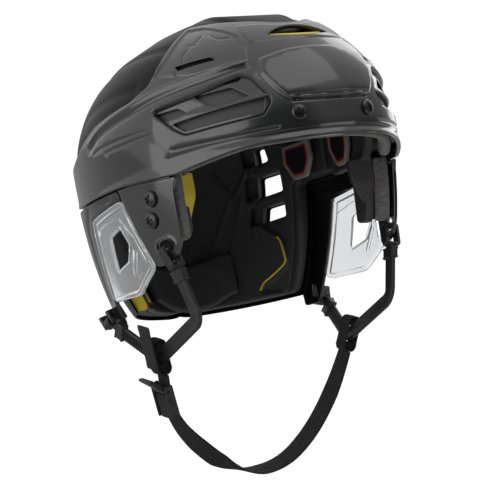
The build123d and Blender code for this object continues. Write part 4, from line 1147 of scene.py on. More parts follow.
def front_pad_outline(inset, low):
    """The front pads: this lower edge, the step over the ear and the curved upper edge."""
    rim = shares([(0.01, 0.09), (-0.115, 0.15), (-0.275, 0.18), (-0.455, 0.24)])
    start = middle_start(FRONT, inset, low[0][1])
    first = (float(start[0, 1]) * 0.9985, low[0][1])
    half = np.vstack([
        start,
        FRONT.side([first, *low, *rim, (-64.6, 42.0)], inset),
        nose_line(inset, [(-66.0, -61.5), (-41.9, -90.9), (-15.6, -110.7), (0.0, -112.8)], -64.8),
    ])
    return soften(symmetric(half), 4)


def rear_pad_outline(inset):
    half = np.vstack([
        REAR.top([(0.0, -104.3), (-12.3, -102.2), (-36.3, -83.9), (-58.6, -56.0)], inset),
        REAR.side(shares([
            (-0.40, 0.26), (-0.25, 0.195), (-0.09, 0.165), (0.05, 0.10), (0.05, -0.20), (0.345, -0.20),
            (0.36, -1.05), (0.84, -1.05),
        ]), inset),
        middle_start(REAR, inset, -102.9, back=True),
    ])
    return soften(symmetric(half), 4)


# %% Impact foam
foam_low = shares([(-0.9, -0.05), (-0.50, -0.05), (-0.46, -0.19), (0.01, -0.19)])
# The yellow front foam is built in the liner's black: painted shade where it lies in shade behind the side
# vents and the slots.
front_foam = moulded(
    "impact_foam_front_soft", FRONT, front_pad_outline(FOAM_OUT, foam_low), FOAM_OUT, FOAM_IN, liner_black,
    edge=2.2, grain_size=3.0,
)


def lit_foam_in_front(x, y, z):
    """Where the front foam keeps its yellow, under the arched vent; elsewhere it is painted black as painted
    shade.
    """
    return (np.abs(x) < 30) & (y > -116) & (y < -100) & (z > 50)


def lit_foam_behind(x, y, z):
    """Where the rear foam keeps its yellow, at its lower front corner on the near side; elsewhere it is
    painted black as painted shade.
    """
    return (z < -93) & (y < 58) & (x < 0)


# Only the lit strip under the arched vent is painted in the foam's own yellow.
painted(front_foam, foam_yellow, lit_foam_in_front)
dress(front_foam, "helmet", "foam_yellow", "impact_foam_front")
rear_foam_vents = vent_pair([vent_hole((span[0] - 5.0, span[1]), low - 0.5, high + 0.8, REAR_FOAM_OUT)
                             for span, low, high in rear_vents])
# The yellow rear foam is built in the liner's black: painted shade where it lies in shade in the rear vents
# and under the shell.
rear_foam = moulded(
    "impact_foam_rear_soft", REAR, rear_pad_outline(REAR_FOAM_OUT), REAR_FOAM_OUT, REAR_FOAM_IN, liner_black,
    holes=rear_foam_vents, edge=1.2, inner_edge=2.2, grain_size=3.6,
)
painted(rear_foam, foam_yellow, lit_foam_behind)
dress(rear_foam, "rear_half", "foam_yellow", "impact_foam_rear")

# %% Ribs on the liners
inside_ribs = [
    [(50, 92, -22), (28, 99, -63), (14, 105, -64), (13, 108, -57), (17, 107, -55)],
    [(55, 85, -24), (32, 88, -81), (0, 96, -82), (-27, 94, -78), (-25, 98, -70)],
    [(44, 100, 1), (52, 89, -21), (60, 80, -6), (62, 76, 6)],
    [(61, 74, 4), (62, 75, -20), (59, 76, -38), (57, 74, -50)],
    [(20, 106, 20), (24, 108, -6), (16, 112, -30)],
    [(40, 88, 40), (52, 78, 28), (56, 60, 42)],
]
front_ribs = [
    [(78, 18, -2), (79, -8, 4), (76, -34, 2), (66, -62, 6)],
    [(80, 14, -22), (76, -34, -20), (70, -52, -22)],
]


def rib_lines(form, ribs, inner, outer):
    """Lines given on the inner face, laid on the outer one, on both sides of the head."""
    lines = []
    for rib in ribs:
        for line in (dense(rib), mirrored(dense(rib))):
            lines.append(form.surface(*form.locate(line, inner), outer))
    return lines


def ribbed(form, lines, depth, width, island=None, drop=0.0):
    """A rule that sinks a pad's inner face, apart from raised ribs, and drops it outside an island."""
    def rule(points):
        nearest = np.min([line_distance(points, line) for line in lines], axis=0)
        fall = depth * smooth_step((nearest - width / 2) / 1.2)
        if island is not None:
            fall += drop * smooth_step(-inward_depth(form, points, island) / 2.2)
        return fall
    return rule


island_half = [
    (0, 88, 62), (-30, 80, 58), (-48, 78, 42), (-60, 74, 22), (-64, 73, 6), (-62, 75, -20), (-59, 76, -40),
    (-60, 71, -47), (-64, 57, -58), (-61, 49, -77), (-57, 54, -83), (-47, 66, -90), (-45, 64, -95),
    (-52, 51, -97), (-50, 56, -110), (0, 110, -110),
]
island_line = soften(symmetric(dense(island_half)), 2)
centre_island = on_rear(island_line, REAR_LINER_IN, REAR_LINER_OUT)
rear_liner_lines = rib_lines(REAR, inside_ribs, REAR_LINER_IN, REAR_LINER_OUT)
front_liner_lines = rib_lines(FRONT, front_ribs, LINER_IN, LINER_OUT)
RIB_ROWS = (-2.6, -1.9, -1.2, -0.5, 0.5, 1.2, 1.9, 2.6)

# %% Moulded liners
liner_low = shares([
    (-0.9, -0.12), (-0.60, -0.14), (-0.40, -0.24), (-0.37, -0.64), (-0.33, -0.71), (-0.20, -0.68),
    (-0.18, -0.25), (0.01, -0.25),
])
front_liner = moulded(
    "front_liner_soft", FRONT, front_pad_outline(LINER_OUT, liner_low), LINER_OUT, LINER_IN, liner_black,
    edge=1.6, inner_edge=2.4, sunk=ribbed(FRONT, front_liner_lines, 1.3, 1.8), grain_size=3.2,
    lines=rows_for(front_liner_lines, RIB_ROWS),
)
dress(front_liner, "helmet", "liner_black", "front_liner")
liner_vents = vent_pair([vent_hole((span[0] - 9.0 * (low < 0), span[1]), low - 1.0, high + 1.6, REAR_FOAM_IN)
                         for span, low, high in rear_vents])
rear_liner = moulded(
    "rear_liner_soft", REAR, rear_pad_outline(REAR_LINER_OUT), REAR_LINER_OUT, REAR_LINER_IN, liner_black,
    holes=liner_vents, edge=1.2, inner_edge=2.4, grain_size=3.2,
    sunk=ribbed(REAR, rear_liner_lines, 1.2, 1.8, centre_island, 4.0),
    lines=rows_for(rear_liner_lines, RIB_ROWS) + [(centre_island, (-3.0, -2.2, -1.4, -0.6, 0.2))],
)
dress(rear_liner, "rear_half", "liner_black", "rear_liner")

# %% Foam under the arched vent
strip_line = np.column_stack([arch_x, ARCH_Y - 6.4 * arch_bow])
strip_rim = np.vstack([(strip_line + (0.0, 4.4))[3:-3], (strip_line + (0.0, 0.2))[::-1][3:-3]])
arch_foam = moulded("arch_vent_foam", FRONT, FRONT.top(strip_rim, 1.2, closed=True), 1.4, 5.8, foam_yellow,
                    edge=0.9, grain_size=1.6)
dress(arch_foam, "helmet", "foam_yellow")

# %% [markdown]
# ## Brow pad, felts and inner pads
#
# These pads are cut from felt and soft foam. A cloth simulation with a little pressure inside
# rounds a cut block into a pad, as its filling would. It is run on the closed layer, and the
# distance that any point may move is capped, so that the pad keeps to its own space. Behind each
# temple felt lies the temple foam, with a wedge of foam that fills the gap to the felt's edge. On
# the far side they take the liner's black, because no yellow shows there.

# %% Filling a pad
def filled(piece, voxel=2.2, pressure=4.0, cap=1.2, frames=14):
    """Swells a closed pad a little with a cloth simulation, and keeps the result as its mesh."""
    remesh = piece.modifiers.new("even_net", "REMESH")
    remesh.mode = "VOXEL"
    remesh.voxel_size = voxel * MM
    even = applied(piece)
    piece.modifiers.remove(remesh)
    before = np.array([v.co[:] for v in even.vertices])
    worker = in_scene("pad_worker", even)
    cloth = worker.modifiers.new("filling", "CLOTH")
    cloth.settings.use_pressure = True
    cloth.settings.uniform_pressure_force = pressure
    cloth.settings.effector_weights.gravity = 0.0
    cloth.settings.quality = 4
    cloth.point_cache.frame_end = frames
    for step in range(1, frames + 1):
        bpy.context.scene.frame_set(step)
    swollen = applied(worker)
    after = np.array([v.co[:] for v in swollen.vertices])
    move = after - before
    length = np.maximum(np.linalg.norm(move, axis=1), 1e-9)
    move *= (np.minimum(length, cap * MM) / length)[:, None]
    swollen.vertices.foreach_set("co", (before + move).ravel())
    bpy.data.objects.remove(worker)
    bpy.context.scene.frame_set(1)
    for material in piece.data.materials:
        if material.name not in [m.name for m in swollen.materials if m]:
            swollen.materials.append(material)
    piece.data = swollen
    swollen.shade_smooth()
    furthest = round(float(length.max()) / MM, 2)
    print(piece.name, "filled,", len(swollen.vertices), "points, moved up to", furthest, "mm before the cap")
    return piece


# %% Brow pad and temple felts
BROW_FORM, BROW_OUT, BROW_IN = 6.0, 6.4, 14.4
TOP, FOOT = -8.0, -19.8
brow_corners = [(-134.6, TOP), (-72.0, TOP), (-70.0, -20.5), (-71.5, -26.0), (-111.0, FOOT), (-134.4, FOOT)]
brow_half = np.vstack([
    middle_start(FRONT, BROW_FORM, TOP),
    FRONT.side(brow_corners, BROW_FORM),
    middle_start(FRONT, BROW_FORM, FOOT),
])
brow_pad = moulded("brow_pad_soft", FRONT, soften(symmetric(brow_half), 2), BROW_OUT, BROW_IN, felt_grey,
                   edge=2.6, inner_edge=3.2, grain_size=2.4)
filled(brow_pad)
dress(brow_pad, "helmet", "felt_grey", "brow_pad")
TEMPLE_FORM = 6.1
FELT_OUT, FELT_IN = 6.6, 17.2
WEDGE_FORM, WEDGE_OUT, WEDGE_IN = 12.9, 17.4, 35.0
THINNING, THINNING_LEVEL, THINNING_RUN = 12.0, -32.0, 36.0
felt_outline = side_loop([
    (-0.458, -0.245), (-0.434, -0.56), (-0.412, -0.708), (-0.362, -0.722), (-0.392, -0.245),
], TEMPLE_FORM, 1.0, 2)
felts = moulded("temple_felt_soft", FRONT, felt_outline, FELT_OUT, FELT_IN, felt_grey, edge=2.0,
                inner_edge=2.2, grain_size=1.8, both_sides=True)
temple_outline = side_loop([
    (-0.372, -0.22), (-0.378, -0.30), (-0.350, -0.69), (-0.215, -0.66), (-0.195, -0.22),
], TEMPLE_FORM, 1.0, 2)
temple_foams = moulded("temple_foam_soft", FRONT, temple_outline, TEMPLE_FORM, FOAM_IN, foam_yellow, edge=1.6,
                       inner_edge=1.8, grain_size=2.4, both_sides=True)
wedge_outline = side_loop([
    (-0.424, -0.235), (-0.418, -0.42), (-0.380, -0.60), (-0.345, -0.235),
], WEDGE_FORM, 0.8, 2)


def wedge_thinning(points):
    """The wedge gets thinner downwards from a level."""
    return THINNING * smooth_step((THINNING_LEVEL - points[:, 2]) / THINNING_RUN)


def everywhere(x, y, z):
    return np.ones(len(x), bool)


wedges = moulded("temple_foam_edge", FRONT, wedge_outline, WEDGE_OUT, WEDGE_IN, foam_yellow, edge=1.0,
                 inner_edge=1.6, grain_size=1.6, sunk=wedge_thinning, both_sides=True)
for piece in (wedges[1], temple_foams[1]):
    painted(piece, liner_black, everywhere)
for piece in wedges:
    dress(piece, "helmet", "foam_yellow")
for piece in felts:
    filled(piece, voxel=1.6, cap=0.9)
dress_pair(felts, "felt_grey", "temple_felt")
dress_pair(temple_foams, "foam_yellow", "temple_foam")

# %% Crown and nape pads
PAD_OUT, CROWN_IN, NAPE_IN = 23.8, 28.8, 29.8
NAPE_FORM, NAPE_HALF_WIDTH, NAPE_TOP, NAPE_FOOT = 23.4, 43.0, -62.5, -112.5
CROWN_FORM, CROWN_HALF, CROWN_MIDDLE = 23.6, (40.8, 60.8), (0.0, 7.05)
crown_outline = REAR.top(circle(160) * CROWN_HALF + CROWN_MIDDLE, CROWN_FORM, closed=True)
crown_pad = moulded("crown_pad_soft", REAR, crown_outline, PAD_OUT, CROWN_IN, liner_black, edge=1.8,
                    inner_edge=2.8, grain_size=2.8)


def on_nape(line):
    return on_rear(line, NAPE_FORM, NAPE_FORM)


nape_half = np.vstack([
    middle_start(REAR, NAPE_FORM, NAPE_TOP, back=True),
    on_nape([(-NAPE_HALF_WIDTH * t, 100.0, NAPE_TOP) for t in np.linspace(0.02, 1, 40)]),
    on_nape([(-NAPE_HALF_WIDTH, 92.0, z) for z in np.linspace(NAPE_TOP - 1, NAPE_FOOT + 0.5, 40)]),
    on_nape([(-NAPE_HALF_WIDTH * t, 100.0, NAPE_FOOT) for t in np.linspace(1, 0.02, 40)]),
    middle_start(REAR, NAPE_FORM, NAPE_FOOT, back=True),
])
nape_pad = moulded("nape_pad_soft", REAR, soften(symmetric(nape_half), 3), PAD_OUT, NAPE_IN, liner_black,
                   edge=2.0, inner_edge=2.8, grain_size=2.6)
for piece, node in ((crown_pad, "crown_pad"), (nape_pad, "nape_pad")):
    filled(piece)
    dress(piece, "rear_half", "liner_black", node)

# %% [markdown]
# ## Gel pads
#
# Small six sided gel pads sit on the side liners. Each is a grey pad with a red line and a black
# middle, which are thin layers of their own.

# %% Gel pads
GEL_CORNERS = np.array([(-1, 1), (0.9, 1), (1, 0), (0.45, -1), (-0.5, -1), (-1, -0.1)])
GEL_HALF = np.array((15.9, 13.9))
GEL_THICK, INLAY_START = 3.7, 1.0
INLAYS = (("line", 0.80, 3.85, gel_red), ("middle", 0.70, 4.0, gel_black))
GEL_PADS = (("rear_gel_pad", REAR, 28.2, -5.9, 23.4, "rear_half"),
            ("front_gel_pad", FRONT, -22.6, -6.9, 26.6, "helmet"))


def gel_layer(name, form, y, z, share, outer, inner, material, edge):
    """One layer of a gel pad: the pad's corners drawn in to this share."""
    corners = GEL_CORNERS * share * GEL_HALF + (y, z)
    outline = soften(form.side(corners, outer, 0.7, closed=True), 3)
    return moulded(name, form, outline, outer, inner, material, edge=edge, grain_size=1.6, both_sides=True)


for name, form, y, z, outer, body in GEL_PADS:
    pads = gel_layer(f"{name}_soft", form, y, z, 1.0, outer, outer + GEL_THICK, gel_grey, 1.2)
    dress_pair(pads, "gel_grey", name, body)
    start = outer + INLAY_START
    for part, share, depth, material in INLAYS:
        for piece in gel_layer(f"{name}_{part}", form, y, z, share, start, outer + depth, material, 0.15):
            dress(piece, body, "gel_grey")

# %% [markdown]
# ## Small moulded parts
#
# Clips, pins, rings and the buckle are each a few closed forms in one mesh: blocks with rounded
# edges, bands swept along a path, and turned parts. One small class collects them, so that each
# part reads as a list of its forms.

# %% Forms for small parts
def rounded_section(width, height, radius, steps=4):
    """The outline of a rectangle with round corners."""
    points = []
    for quarter, (sx, sy) in enumerate(((1, 1), (-1, 1), (-1, -1), (1, -1))):
        for k in range(steps + 1):
            angle = math.pi / 2 * (quarter + k / steps)
            x = sx * (width / 2 - radius) + radius * math.cos(angle)
            points.append((x, sy * (height / 2 - radius) + radius * math.sin(angle)))
    return np.array(points)


def unit(vector):
    return np.asarray(vector, float) / np.linalg.norm(vector)


def units(rows):
    """Each row as a direction of length 1."""
    return rows / np.linalg.norm(rows, axis=1)[:, None]


def faced_out(piece):
    """Turns the faces of a closed piece outwards."""
    shape = bmesh.new()
    shape.from_mesh(piece.data)
    bmesh.ops.recalc_face_normals(shape, faces=shape.faces[:])
    shape.to_mesh(piece.data)
    shape.free()
    return piece


class Maker:
    """Collects closed forms, in millimetres in the row frame, into one piece."""

    def __init__(self):
        self.points, self.faces = [], []

    def add(self, points, faces):
        start = len(self.points)
        self.points += [tuple(float(v) for v in p) for p in points]
        self.faces += [tuple(start + int(k) for k in face) for face in faces]

    def block(self, middle, axes, size, radius, steps=3):
        """A block with rounded edges. axes are its own three directions."""
        shape = bmesh.new()
        bmesh.ops.create_cube(shape, size=1.0, matrix=Matrix.Diagonal((*size, 1.0)))
        edges = shape.edges[:]
        bmesh.ops.bevel(shape, geom=edges, offset=radius, segments=steps, profile=0.5, affect="EDGES")
        shape.verts.index_update()
        basis = np.array([unit(a) for a in axes])
        points = [np.asarray(middle, float) + np.array(v.co[:]) @ basis for v in shape.verts]
        self.add(points, [[v.index for v in f.verts] for f in shape.faces])
        shape.free()

    def tube(self, rings, closed=False):
        """A tube through rings of points, with flat ends unless it closes on itself."""
        count, around = len(rings), len(rings[0])
        faces = []
        for k in range(count if closed else count - 1):
            a, b = k * around, ((k + 1) % count) * around
            faces += [(a + j, a + (j + 1) % around, b + (j + 1) % around, b + j) for j in range(around)]
        if not closed:
            faces += [tuple(range(around))[::-1], tuple((count - 1) * around + j for j in range(around))]
        self.add(np.vstack(rings), faces)

    def sweep(self, path, sides, ups, section, closed=False, end_radius=0.0):
        """A section carried along a path, with its two directions at each point."""
        path, sides, ups = (np.asarray(v, float) for v in (path, sides, ups))
        rings = [path[k] + section[:, :1] * sides[k] + section[:, 1:] * ups[k] for k in range(len(path))]
        if not closed and end_radius > 0:
            half = np.abs(section).max(axis=0)
            for at_start in (True, False):
                here, next_in = (0, 1) if at_start else (-1, -2)
                inwards = unit(path[next_in] - path[here])
                added = []
                for share in (0.0, 0.12, 0.45):
                    drawn = end_radius * (1 - math.sqrt(1 - (1 - share) ** 2))
                    small = section * (1 - drawn / half)
                    middle = path[here] + inwards * end_radius * (share - 1)
                    added.append(middle + small[:, :1] * sides[here] + small[:, 1:] * ups[here])
                rings = added + rings if at_start else rings + added[::-1]
        self.tube(rings, closed)

    def turned(self, origin, axis, profile, count=28):
        """A round form about an axis, from pairs of height and radius."""
        axis = unit(axis)
        side = unit(np.cross(axis, (0.31, 0.87, 0.42)))
        other = np.cross(axis, side)
        way_out = circle(count) @ np.array((side, other))
        self.tube([np.asarray(origin) + axis * h + r * way_out for h, r in profile])

    def made(self, name, material, left=False):
        """The piece as an object. left mirrors it to the other side of the head."""
        points = np.array(self.points)
        if left:
            points = mirrored(points)
        return faced_out(new_object(name, points * MM, self.faces, material, 42.0))


def pair_of(maker, name, material):
    return maker.made(f"{name}_right", material), maker.made(f"{name}_left", material, left=True)


# %% [markdown]
# ## Repeats
#
# Screws, teeth, stitches and ridges repeat one small form in many places. One Geometry Nodes tree
# sets a shape on points, turned as each point says. The result is turned into a plain mesh.

# %% Tree that sets a shape on points
rows_tree = bpy.data.node_groups.new("set_in_rows", "GeometryNodeTree")
for socket, kind in (("Geometry", "Geometry"), ("Shape", "Object"), ("Finish", "Material")):
    rows_tree.interface.new_socket(socket, in_out="INPUT", socket_type="NodeSocket" + kind)
rows_tree.interface.new_socket("Geometry", in_out="OUTPUT", socket_type="NodeSocketGeometry")
rows_in, rows_out = rows_tree.nodes.new("NodeGroupInput"), rows_tree.nodes.new("NodeGroupOutput")
rows_points, rows_shape, rows_turn, rows_place, rows_real, rows_finish = map(rows_tree.nodes.new, (
    "GeometryNodeMeshToPoints", "GeometryNodeObjectInfo", "GeometryNodeInputNamedAttribute",
    "GeometryNodeInstanceOnPoints", "GeometryNodeRealizeInstances", "GeometryNodeSetMaterial",
))
rows_turn.data_type = "FLOAT_VECTOR"
rows_turn.inputs["Name"].default_value = "turn"
for source, output, target, socket in (
    (rows_in, "Geometry", rows_points, "Mesh"), (rows_in, "Shape", rows_shape, "Object"),
    (rows_points, "Points", rows_place, "Points"), (rows_shape, "Geometry", rows_place, "Instance"),
    (rows_turn, "Attribute", rows_place, "Rotation"), (rows_place, "Instances", rows_real, "Geometry"),
    (rows_real, "Geometry", rows_finish, "Geometry"), (rows_in, "Finish", rows_finish, "Material"),
    (rows_finish, "Geometry", rows_out, "Geometry"),
):
    rows_tree.links.new(source.outputs[output], target.inputs[socket])
SOCKET_OF = {item.name: item.identifier for item in rows_tree.interface.items_tree if item.in_out == "INPUT"}


def set_rows(name, shape, places, material):
    """One mesh of the shape at each place: a point, the way its top faces and the way its length runs."""
    host_mesh = bpy.data.meshes.new(name)
    host_mesh.from_pydata([tuple(np.asarray(p) * MM) for p, _, _ in places], [], [])
    turns = host_mesh.attributes.new("turn", "FLOAT_VECTOR", "POINT")
    for k, (_, top, along) in enumerate(places):
        z_axis = Vector(unit(top))
        x_axis = (Vector(along) - z_axis * Vector(along).dot(z_axis)).normalized()
        axes = Matrix((x_axis, z_axis.cross(x_axis), z_axis)).transposed()
        turns.data[k].vector = tuple(axes.to_euler())
    host = in_scene(f"{name}_host", host_mesh)
    rows = host.modifiers.new("rows", "NODES")
    rows.node_group = rows_tree
    rows[SOCKET_OF["Shape"]] = shape
    rows[SOCKET_OF["Finish"]] = material
    result = applied(host)
    host.modifiers.remove(rows)
    bpy.data.objects.remove(host)
    result.name = name
    result.shade_smooth()
    result.set_sharp_from_angle(angle=math.radians(42))
    print(name, len(places), "places,", len(result.vertices), "points")
    return in_scene(name, result)


def form_normal(form, point, inset=0.0):
    """The point laid on the form, and the way out there, in millimetres in the row frame."""
    turn, descent = form.locate([point], inset)
    here = tipped(form.surface(turn, descent, inset))[0] / MM
    aside = tipped(form.surface(turn + 0.01, descent, inset))[0] / MM - here
    below = tipped(form.surface(turn, descent + 1.0, inset))[0] / MM - here
    way = unit(np.cross(below, aside))
    if np.dot(way, here) < 0:
        way = -way
    return here, way


# %% [markdown]
# ## Foam edge and screws
#
# A thin edge of foam shows beside the liner's island, low on each side. Black screws with a low
# dome and a cross recess hold the ear panels and the forehead. The head is a net of points whose
# height is the dome less the cross, so the recess has sloping walls.

# %% Foam edge beside the liner's island
BEAD_LINE = [(-64, 59, -57), (-64, 55, -61), (-61, 49, -77), (-56, 56, -82), (-49, 65, -88), (-46, 66, -93)]
BEAD_DEPTH = REAR_LINER_IN - 2.4
bead_line = soften(dense(BEAD_LINE, 0.8), 4, closed=False)
bead_path = tipped(on_rear(bead_line, REAR_LINER_IN, BEAD_DEPTH)) / MM
bead_way = units(np.gradient(bead_path, axis=0))
bead_sides = units(np.cross(bead_way, -units(bead_path)))
bead_maker = Maker()
bead_maker.sweep(bead_path, bead_sides, np.cross(bead_sides, bead_way), rounded_section(1.4, 3.4, 0.65),
                 end_radius=0.6)
for piece in pair_of(bead_maker, "foam_edge_bead", foam_yellow):
    dress(piece, "rear_half", "foam_yellow")

# %% Screws
SCREW_RADIUS, SCREW_SIDES, SCREW_LIFT = 5.6, 40, 0.3


def screw_shape():
    """One screw at the origin, its head upwards."""
    points = [radius * p for radius in (SCREW_RADIUS, 5.45, 5.0, 4.4, 3.9) for p in circle(SCREW_SIDES)]
    grid = np.arange(-3.4, 3.5, 0.28)
    points += [(x, y) for x in grid for y in grid if math.hypot(x, y) < 3.6]
    rim_links = [(k, (k + 1) % SCREW_SIDES) for k in range(SCREW_SIDES)]
    found = delaunay_2d_cdt([Vector(p) for p in points], rim_links, [], 0, 1e-6)
    flat = np.array([tuple(p) for p in found[0]])
    radius = np.hypot(flat[:, 0], flat[:, 1])
    dome = 1.1 * (1 - (radius / SCREW_RADIUS) ** 2) - 0.5 * smooth_step((radius - 5.0) / 0.6)
    near, far = np.minimum(*np.abs(flat.T)), np.maximum(*np.abs(flat.T))
    arm = np.maximum(near - 0.45, 0) / 0.35
    reach = np.maximum(far - 2.7, 0) / 0.5
    height = 1.5 + dome - 1.4 * (1 - smooth_step(np.hypot(arm, reach)))
    head = Maker()
    count = len(flat)
    head.add(np.column_stack([flat, height]), [tuple(f) for f in found[2]])
    head.add([(*p, 0.0) for p in 5.5 * circle(SCREW_SIDES)], [tuple(range(SCREW_SIDES))[::-1]])
    head.faces += [(k, count + k, count + on, on) for k, on in rim_links]
    head.turned((0, 0, -8.4), (0, 0, 1), [(0, 1.7), (0.6, 2.3), (8.3, 2.35)], 16)
    return head.made("screw_shape", black_gloss)


screw = screw_shape()
forehead_places, ear_places = [], []
for side in (-1, 1):
    here, way = form_normal(FRONT, (side * 28.5, -136.0, -1.96))
    forehead_places.append((here + way * SCREW_LIFT, way, (1.0, 0.15 * side, 0.4)))
    for (y, z), twist in zip(SCREW_PLACES, (0.2, 0.9)):
        x = float(FRONT.side([(y, z), (y + 0.01, z)], PANEL_OUT)[0, 0])
        here, way = form_normal(FRONT, (-side * x, y, z), PANEL_OUT)
        ear_places.append((here + way * SCREW_LIFT, way, (0.0, math.cos(twist), math.sin(twist))))
ear_screws = set_rows("ear_screw_heads", screw, ear_places, black_gloss)
dress(ear_screws, "helmet", "black_gloss", "ear_screws")
forehead_screws = set_rows("forehead_screw_heads", screw, forehead_places, black_gloss)
dress(forehead_screws, "helmet", "black_gloss", "forehead_screws")
bpy.data.objects.remove(screw)

# %% [markdown]
# ## Strap loops and clips
#
# On each side a moulded band hangs from a clip on the ear panel, turns a tight corner and runs back
# up to a clip on the horn. It is drawn in the plane that the clips' hinge line and the band make.

# %% Loop plane
FRONT_ANCHOR = np.array((-94.686, -69.304, -61.381))
ALONG = unit((0.0, 0.81871, -0.57421))
DOWN = unit((0.2588, -0.5547, -0.7908))
OUTWARDS = unit(np.cross(ALONG, DOWN))
REAR_POINT = np.array((104.473, 0.0))
BEND, VERTEX = np.array((11.283, 46.0)), np.array((75.743, 46.0))
front_leg, rear_leg = unit(BEND), unit(VERTEX - REAR_POINT)


def in_loop(flat):
    """Points of the loop's plane in the row frame."""
    flat = np.atleast_2d(np.asarray(flat, float))
    return FRONT_ANCHOR + flat[:, :1] * ALONG + flat[:, 1:] * DOWN


def leg_ways(leg):
    """The way across a leg of the loop, and the way along it."""
    return ALONG * -leg[1] + DOWN * leg[0], ALONG * leg[0] + DOWN * leg[1]


def cornered(route, radii, step=1.0):
    """A line of straight runs and round corners, with its direction at each point."""
    route = [np.asarray(p, float) for p in route]
    points = [route[0]]
    for k, radius in enumerate(radii, start=1):
        back, on = unit(route[k - 1] - route[k]), unit(route[k + 1] - route[k])
        half = math.acos(float(np.clip(np.dot(back, on), -1, 1))) / 2
        reach = radius / math.tan(half)
        middle = route[k] + unit(back + on) * radius / math.sin(half)
        first, last = route[k] + back * reach - middle, route[k] + on * reach - middle
        sweep = math.pi - 2 * half
        for share in np.linspace(0, 1, max(int(radius * sweep / step), 4)):
            across = first * math.sin((1 - share) * sweep) + last * math.sin(share * sweep)
            points.append(middle + across / math.sin(sweep))
    points.append(route[-1])
    line = [points[0]]
    for p in points[1:]:
        gap = np.linalg.norm(p - line[-1])
        if gap > 1e-6:
            count = max(int(gap / (2 * step)), 1)
            start = line[-1]
            line += [start + (p - start) * (j + 1) / count for j in range(count)]
    return np.array(line), units(np.gradient(line, axis=0))


def dress_on_loops(pair, node):
    for piece, side in zip(pair, ("right", "left")):
        dress(piece, f"{side}_loop", "band_rubber", f"{node}_{side}")


# %% Strap loops
band_route = [front_leg * 11.0, BEND, VERTEX, REAR_POINT + rear_leg * 9.6]
band_line, band_way = cornered(band_route, (9.0, 12.0), 0.9)
band_path = in_loop(band_line)
band_sides = np.array([leg_ways(way)[0] for way in band_way])
band_outwards = np.repeat(OUTWARDS[None, :], len(band_path), axis=0)
belt = dense(rounded_section(10.5, 3.4, 1.3), 0.8, closed=True)
middle_channel = 0.55 * np.exp(-(belt[:, 0] / 2.6) ** 2)
belt[:, 1] -= middle_channel * np.sign(belt[:, 1])
loops = Maker()
loops.sweep(band_path, band_sides, band_outwards, belt)
dress_on_loops(pair_of(loops, "strap_loop_band", band_rubber), "strap_loop")

# %% Teeth on the loops' rear legs
FIRST_TOOTH, LAST_TOOTH, TEETH, BAND_FACE = 14.5, 40.5, 14, 1.35
tooth = Maker()
tooth.block((0, 0, 0.1), np.eye(3), (6.4, 1.1, 1.5), 0.35, 2)
tooth_shape = tooth.made("tooth_shape", band_rubber)
for mirror, side in ((1, "right"), (-1, "left")):
    places = []
    for share in np.linspace(FIRST_TOOTH, LAST_TOOTH, TEETH):
        place = in_loop(REAR_POINT + rear_leg * share)[0]
        for face in (1, -1):
            where, top = place + OUTWARDS * BAND_FACE * face, OUTWARDS * face
            places.append(tuple(v * (mirror, 1, 1) for v in (where, top, leg_ways(rear_leg)[0])))
    teeth = set_rows(f"band_teeth_{side}", tooth_shape, places, band_rubber)
    dress(teeth, f"{side}_loop", "band_rubber")
bpy.data.objects.remove(tooth_shape)

# %% [markdown]
# ## Strap clips
#
# The front clip is a ring round the ear panel's bar, with small ribs on its top and a sleeve that
# holds the band. The rear clip is an eye on the horn's pin, with a narrow neck and its own sleeve.

# %% Strap clips
def sleeve_on(maker, start, leg):
    """A sleeve round the band, with two low collars."""
    across, along = leg_ways(leg)
    middle = in_loop(start + leg * 4.5)[0]
    maker.block(middle, (across, along, OUTWARDS), (12.9, 9.0, 5.8), 1.3, 4)
    for share in (1.2, 7.8):
        maker.block(in_loop(start + leg * share)[0], (across, along, OUTWARDS), (13.2, 1.5, 6.2), 0.5, 2)


def ring_path(width, height, radius, step=0.8):
    """A closed rounded rectangle about the origin, with the way out at each point."""
    corners = np.array([(1, 1), (-1, 1), (-1, -1), (1, -1)]) * (width / 2, height / 2)
    line = soften(dense(corners, step, closed=True), radius / step)
    way = units(np.roll(line, -1, axis=0) - np.roll(line, 1, axis=0))
    return line, np.column_stack([way[:, 1], -way[:, 0]])


front_clip = Maker()
line, outs = ring_path(9.8, 16.0, 2.2)
ring_points = FRONT_ANCHOR + line[:, :1] * OUTWARDS + line[:, 1:] * -DOWN
ring_outs = outs[:, :1] * OUTWARDS + outs[:, 1:] * -DOWN
ring_sides = np.repeat(ALONG[None, :], len(line), axis=0)
front_clip.sweep(ring_points, ring_sides, ring_outs, rounded_section(7.0, 2.4, 0.8), closed=True)
for share in (-2.3, 0.0, 2.3):
    rib = FRONT_ANCHOR + OUTWARDS * 4.2 - DOWN * 7.6 + ALONG * share
    front_clip.block(rib, (ALONG, OUTWARDS, DOWN), (1.2, 3.0, 2.4), 0.45, 2)
front_sleeve = front_leg * 9.4
front_neck = in_loop(front_sleeve * (0.5, 0.0) + (0.0, 10.3))[0]
front_clip.block(front_neck, (ALONG, DOWN, OUTWARDS), (7.0, 5.6, 5.6), 0.9)
sleeve_on(front_clip, front_sleeve, front_leg)
rear_clip = Maker()
rear_anchor = in_loop(REAR_POINT)[0]
EYE_RADIUS, EYE_SIDES = 3.3, 28
eye_outs = circle(EYE_SIDES) @ np.array((OUTWARDS, DOWN))
eye_sides = np.repeat(ALONG[None, :], EYE_SIDES, axis=0)
eye_points = rear_anchor + eye_outs * EYE_RADIUS
rear_clip.sweep(eye_points, eye_sides, eye_outs, rounded_section(7.0, 2.0, 0.7), closed=True)
rear_across, rear_along = leg_ways(rear_leg)
rear_neck = in_loop(REAR_POINT + rear_leg * 6.3)[0]
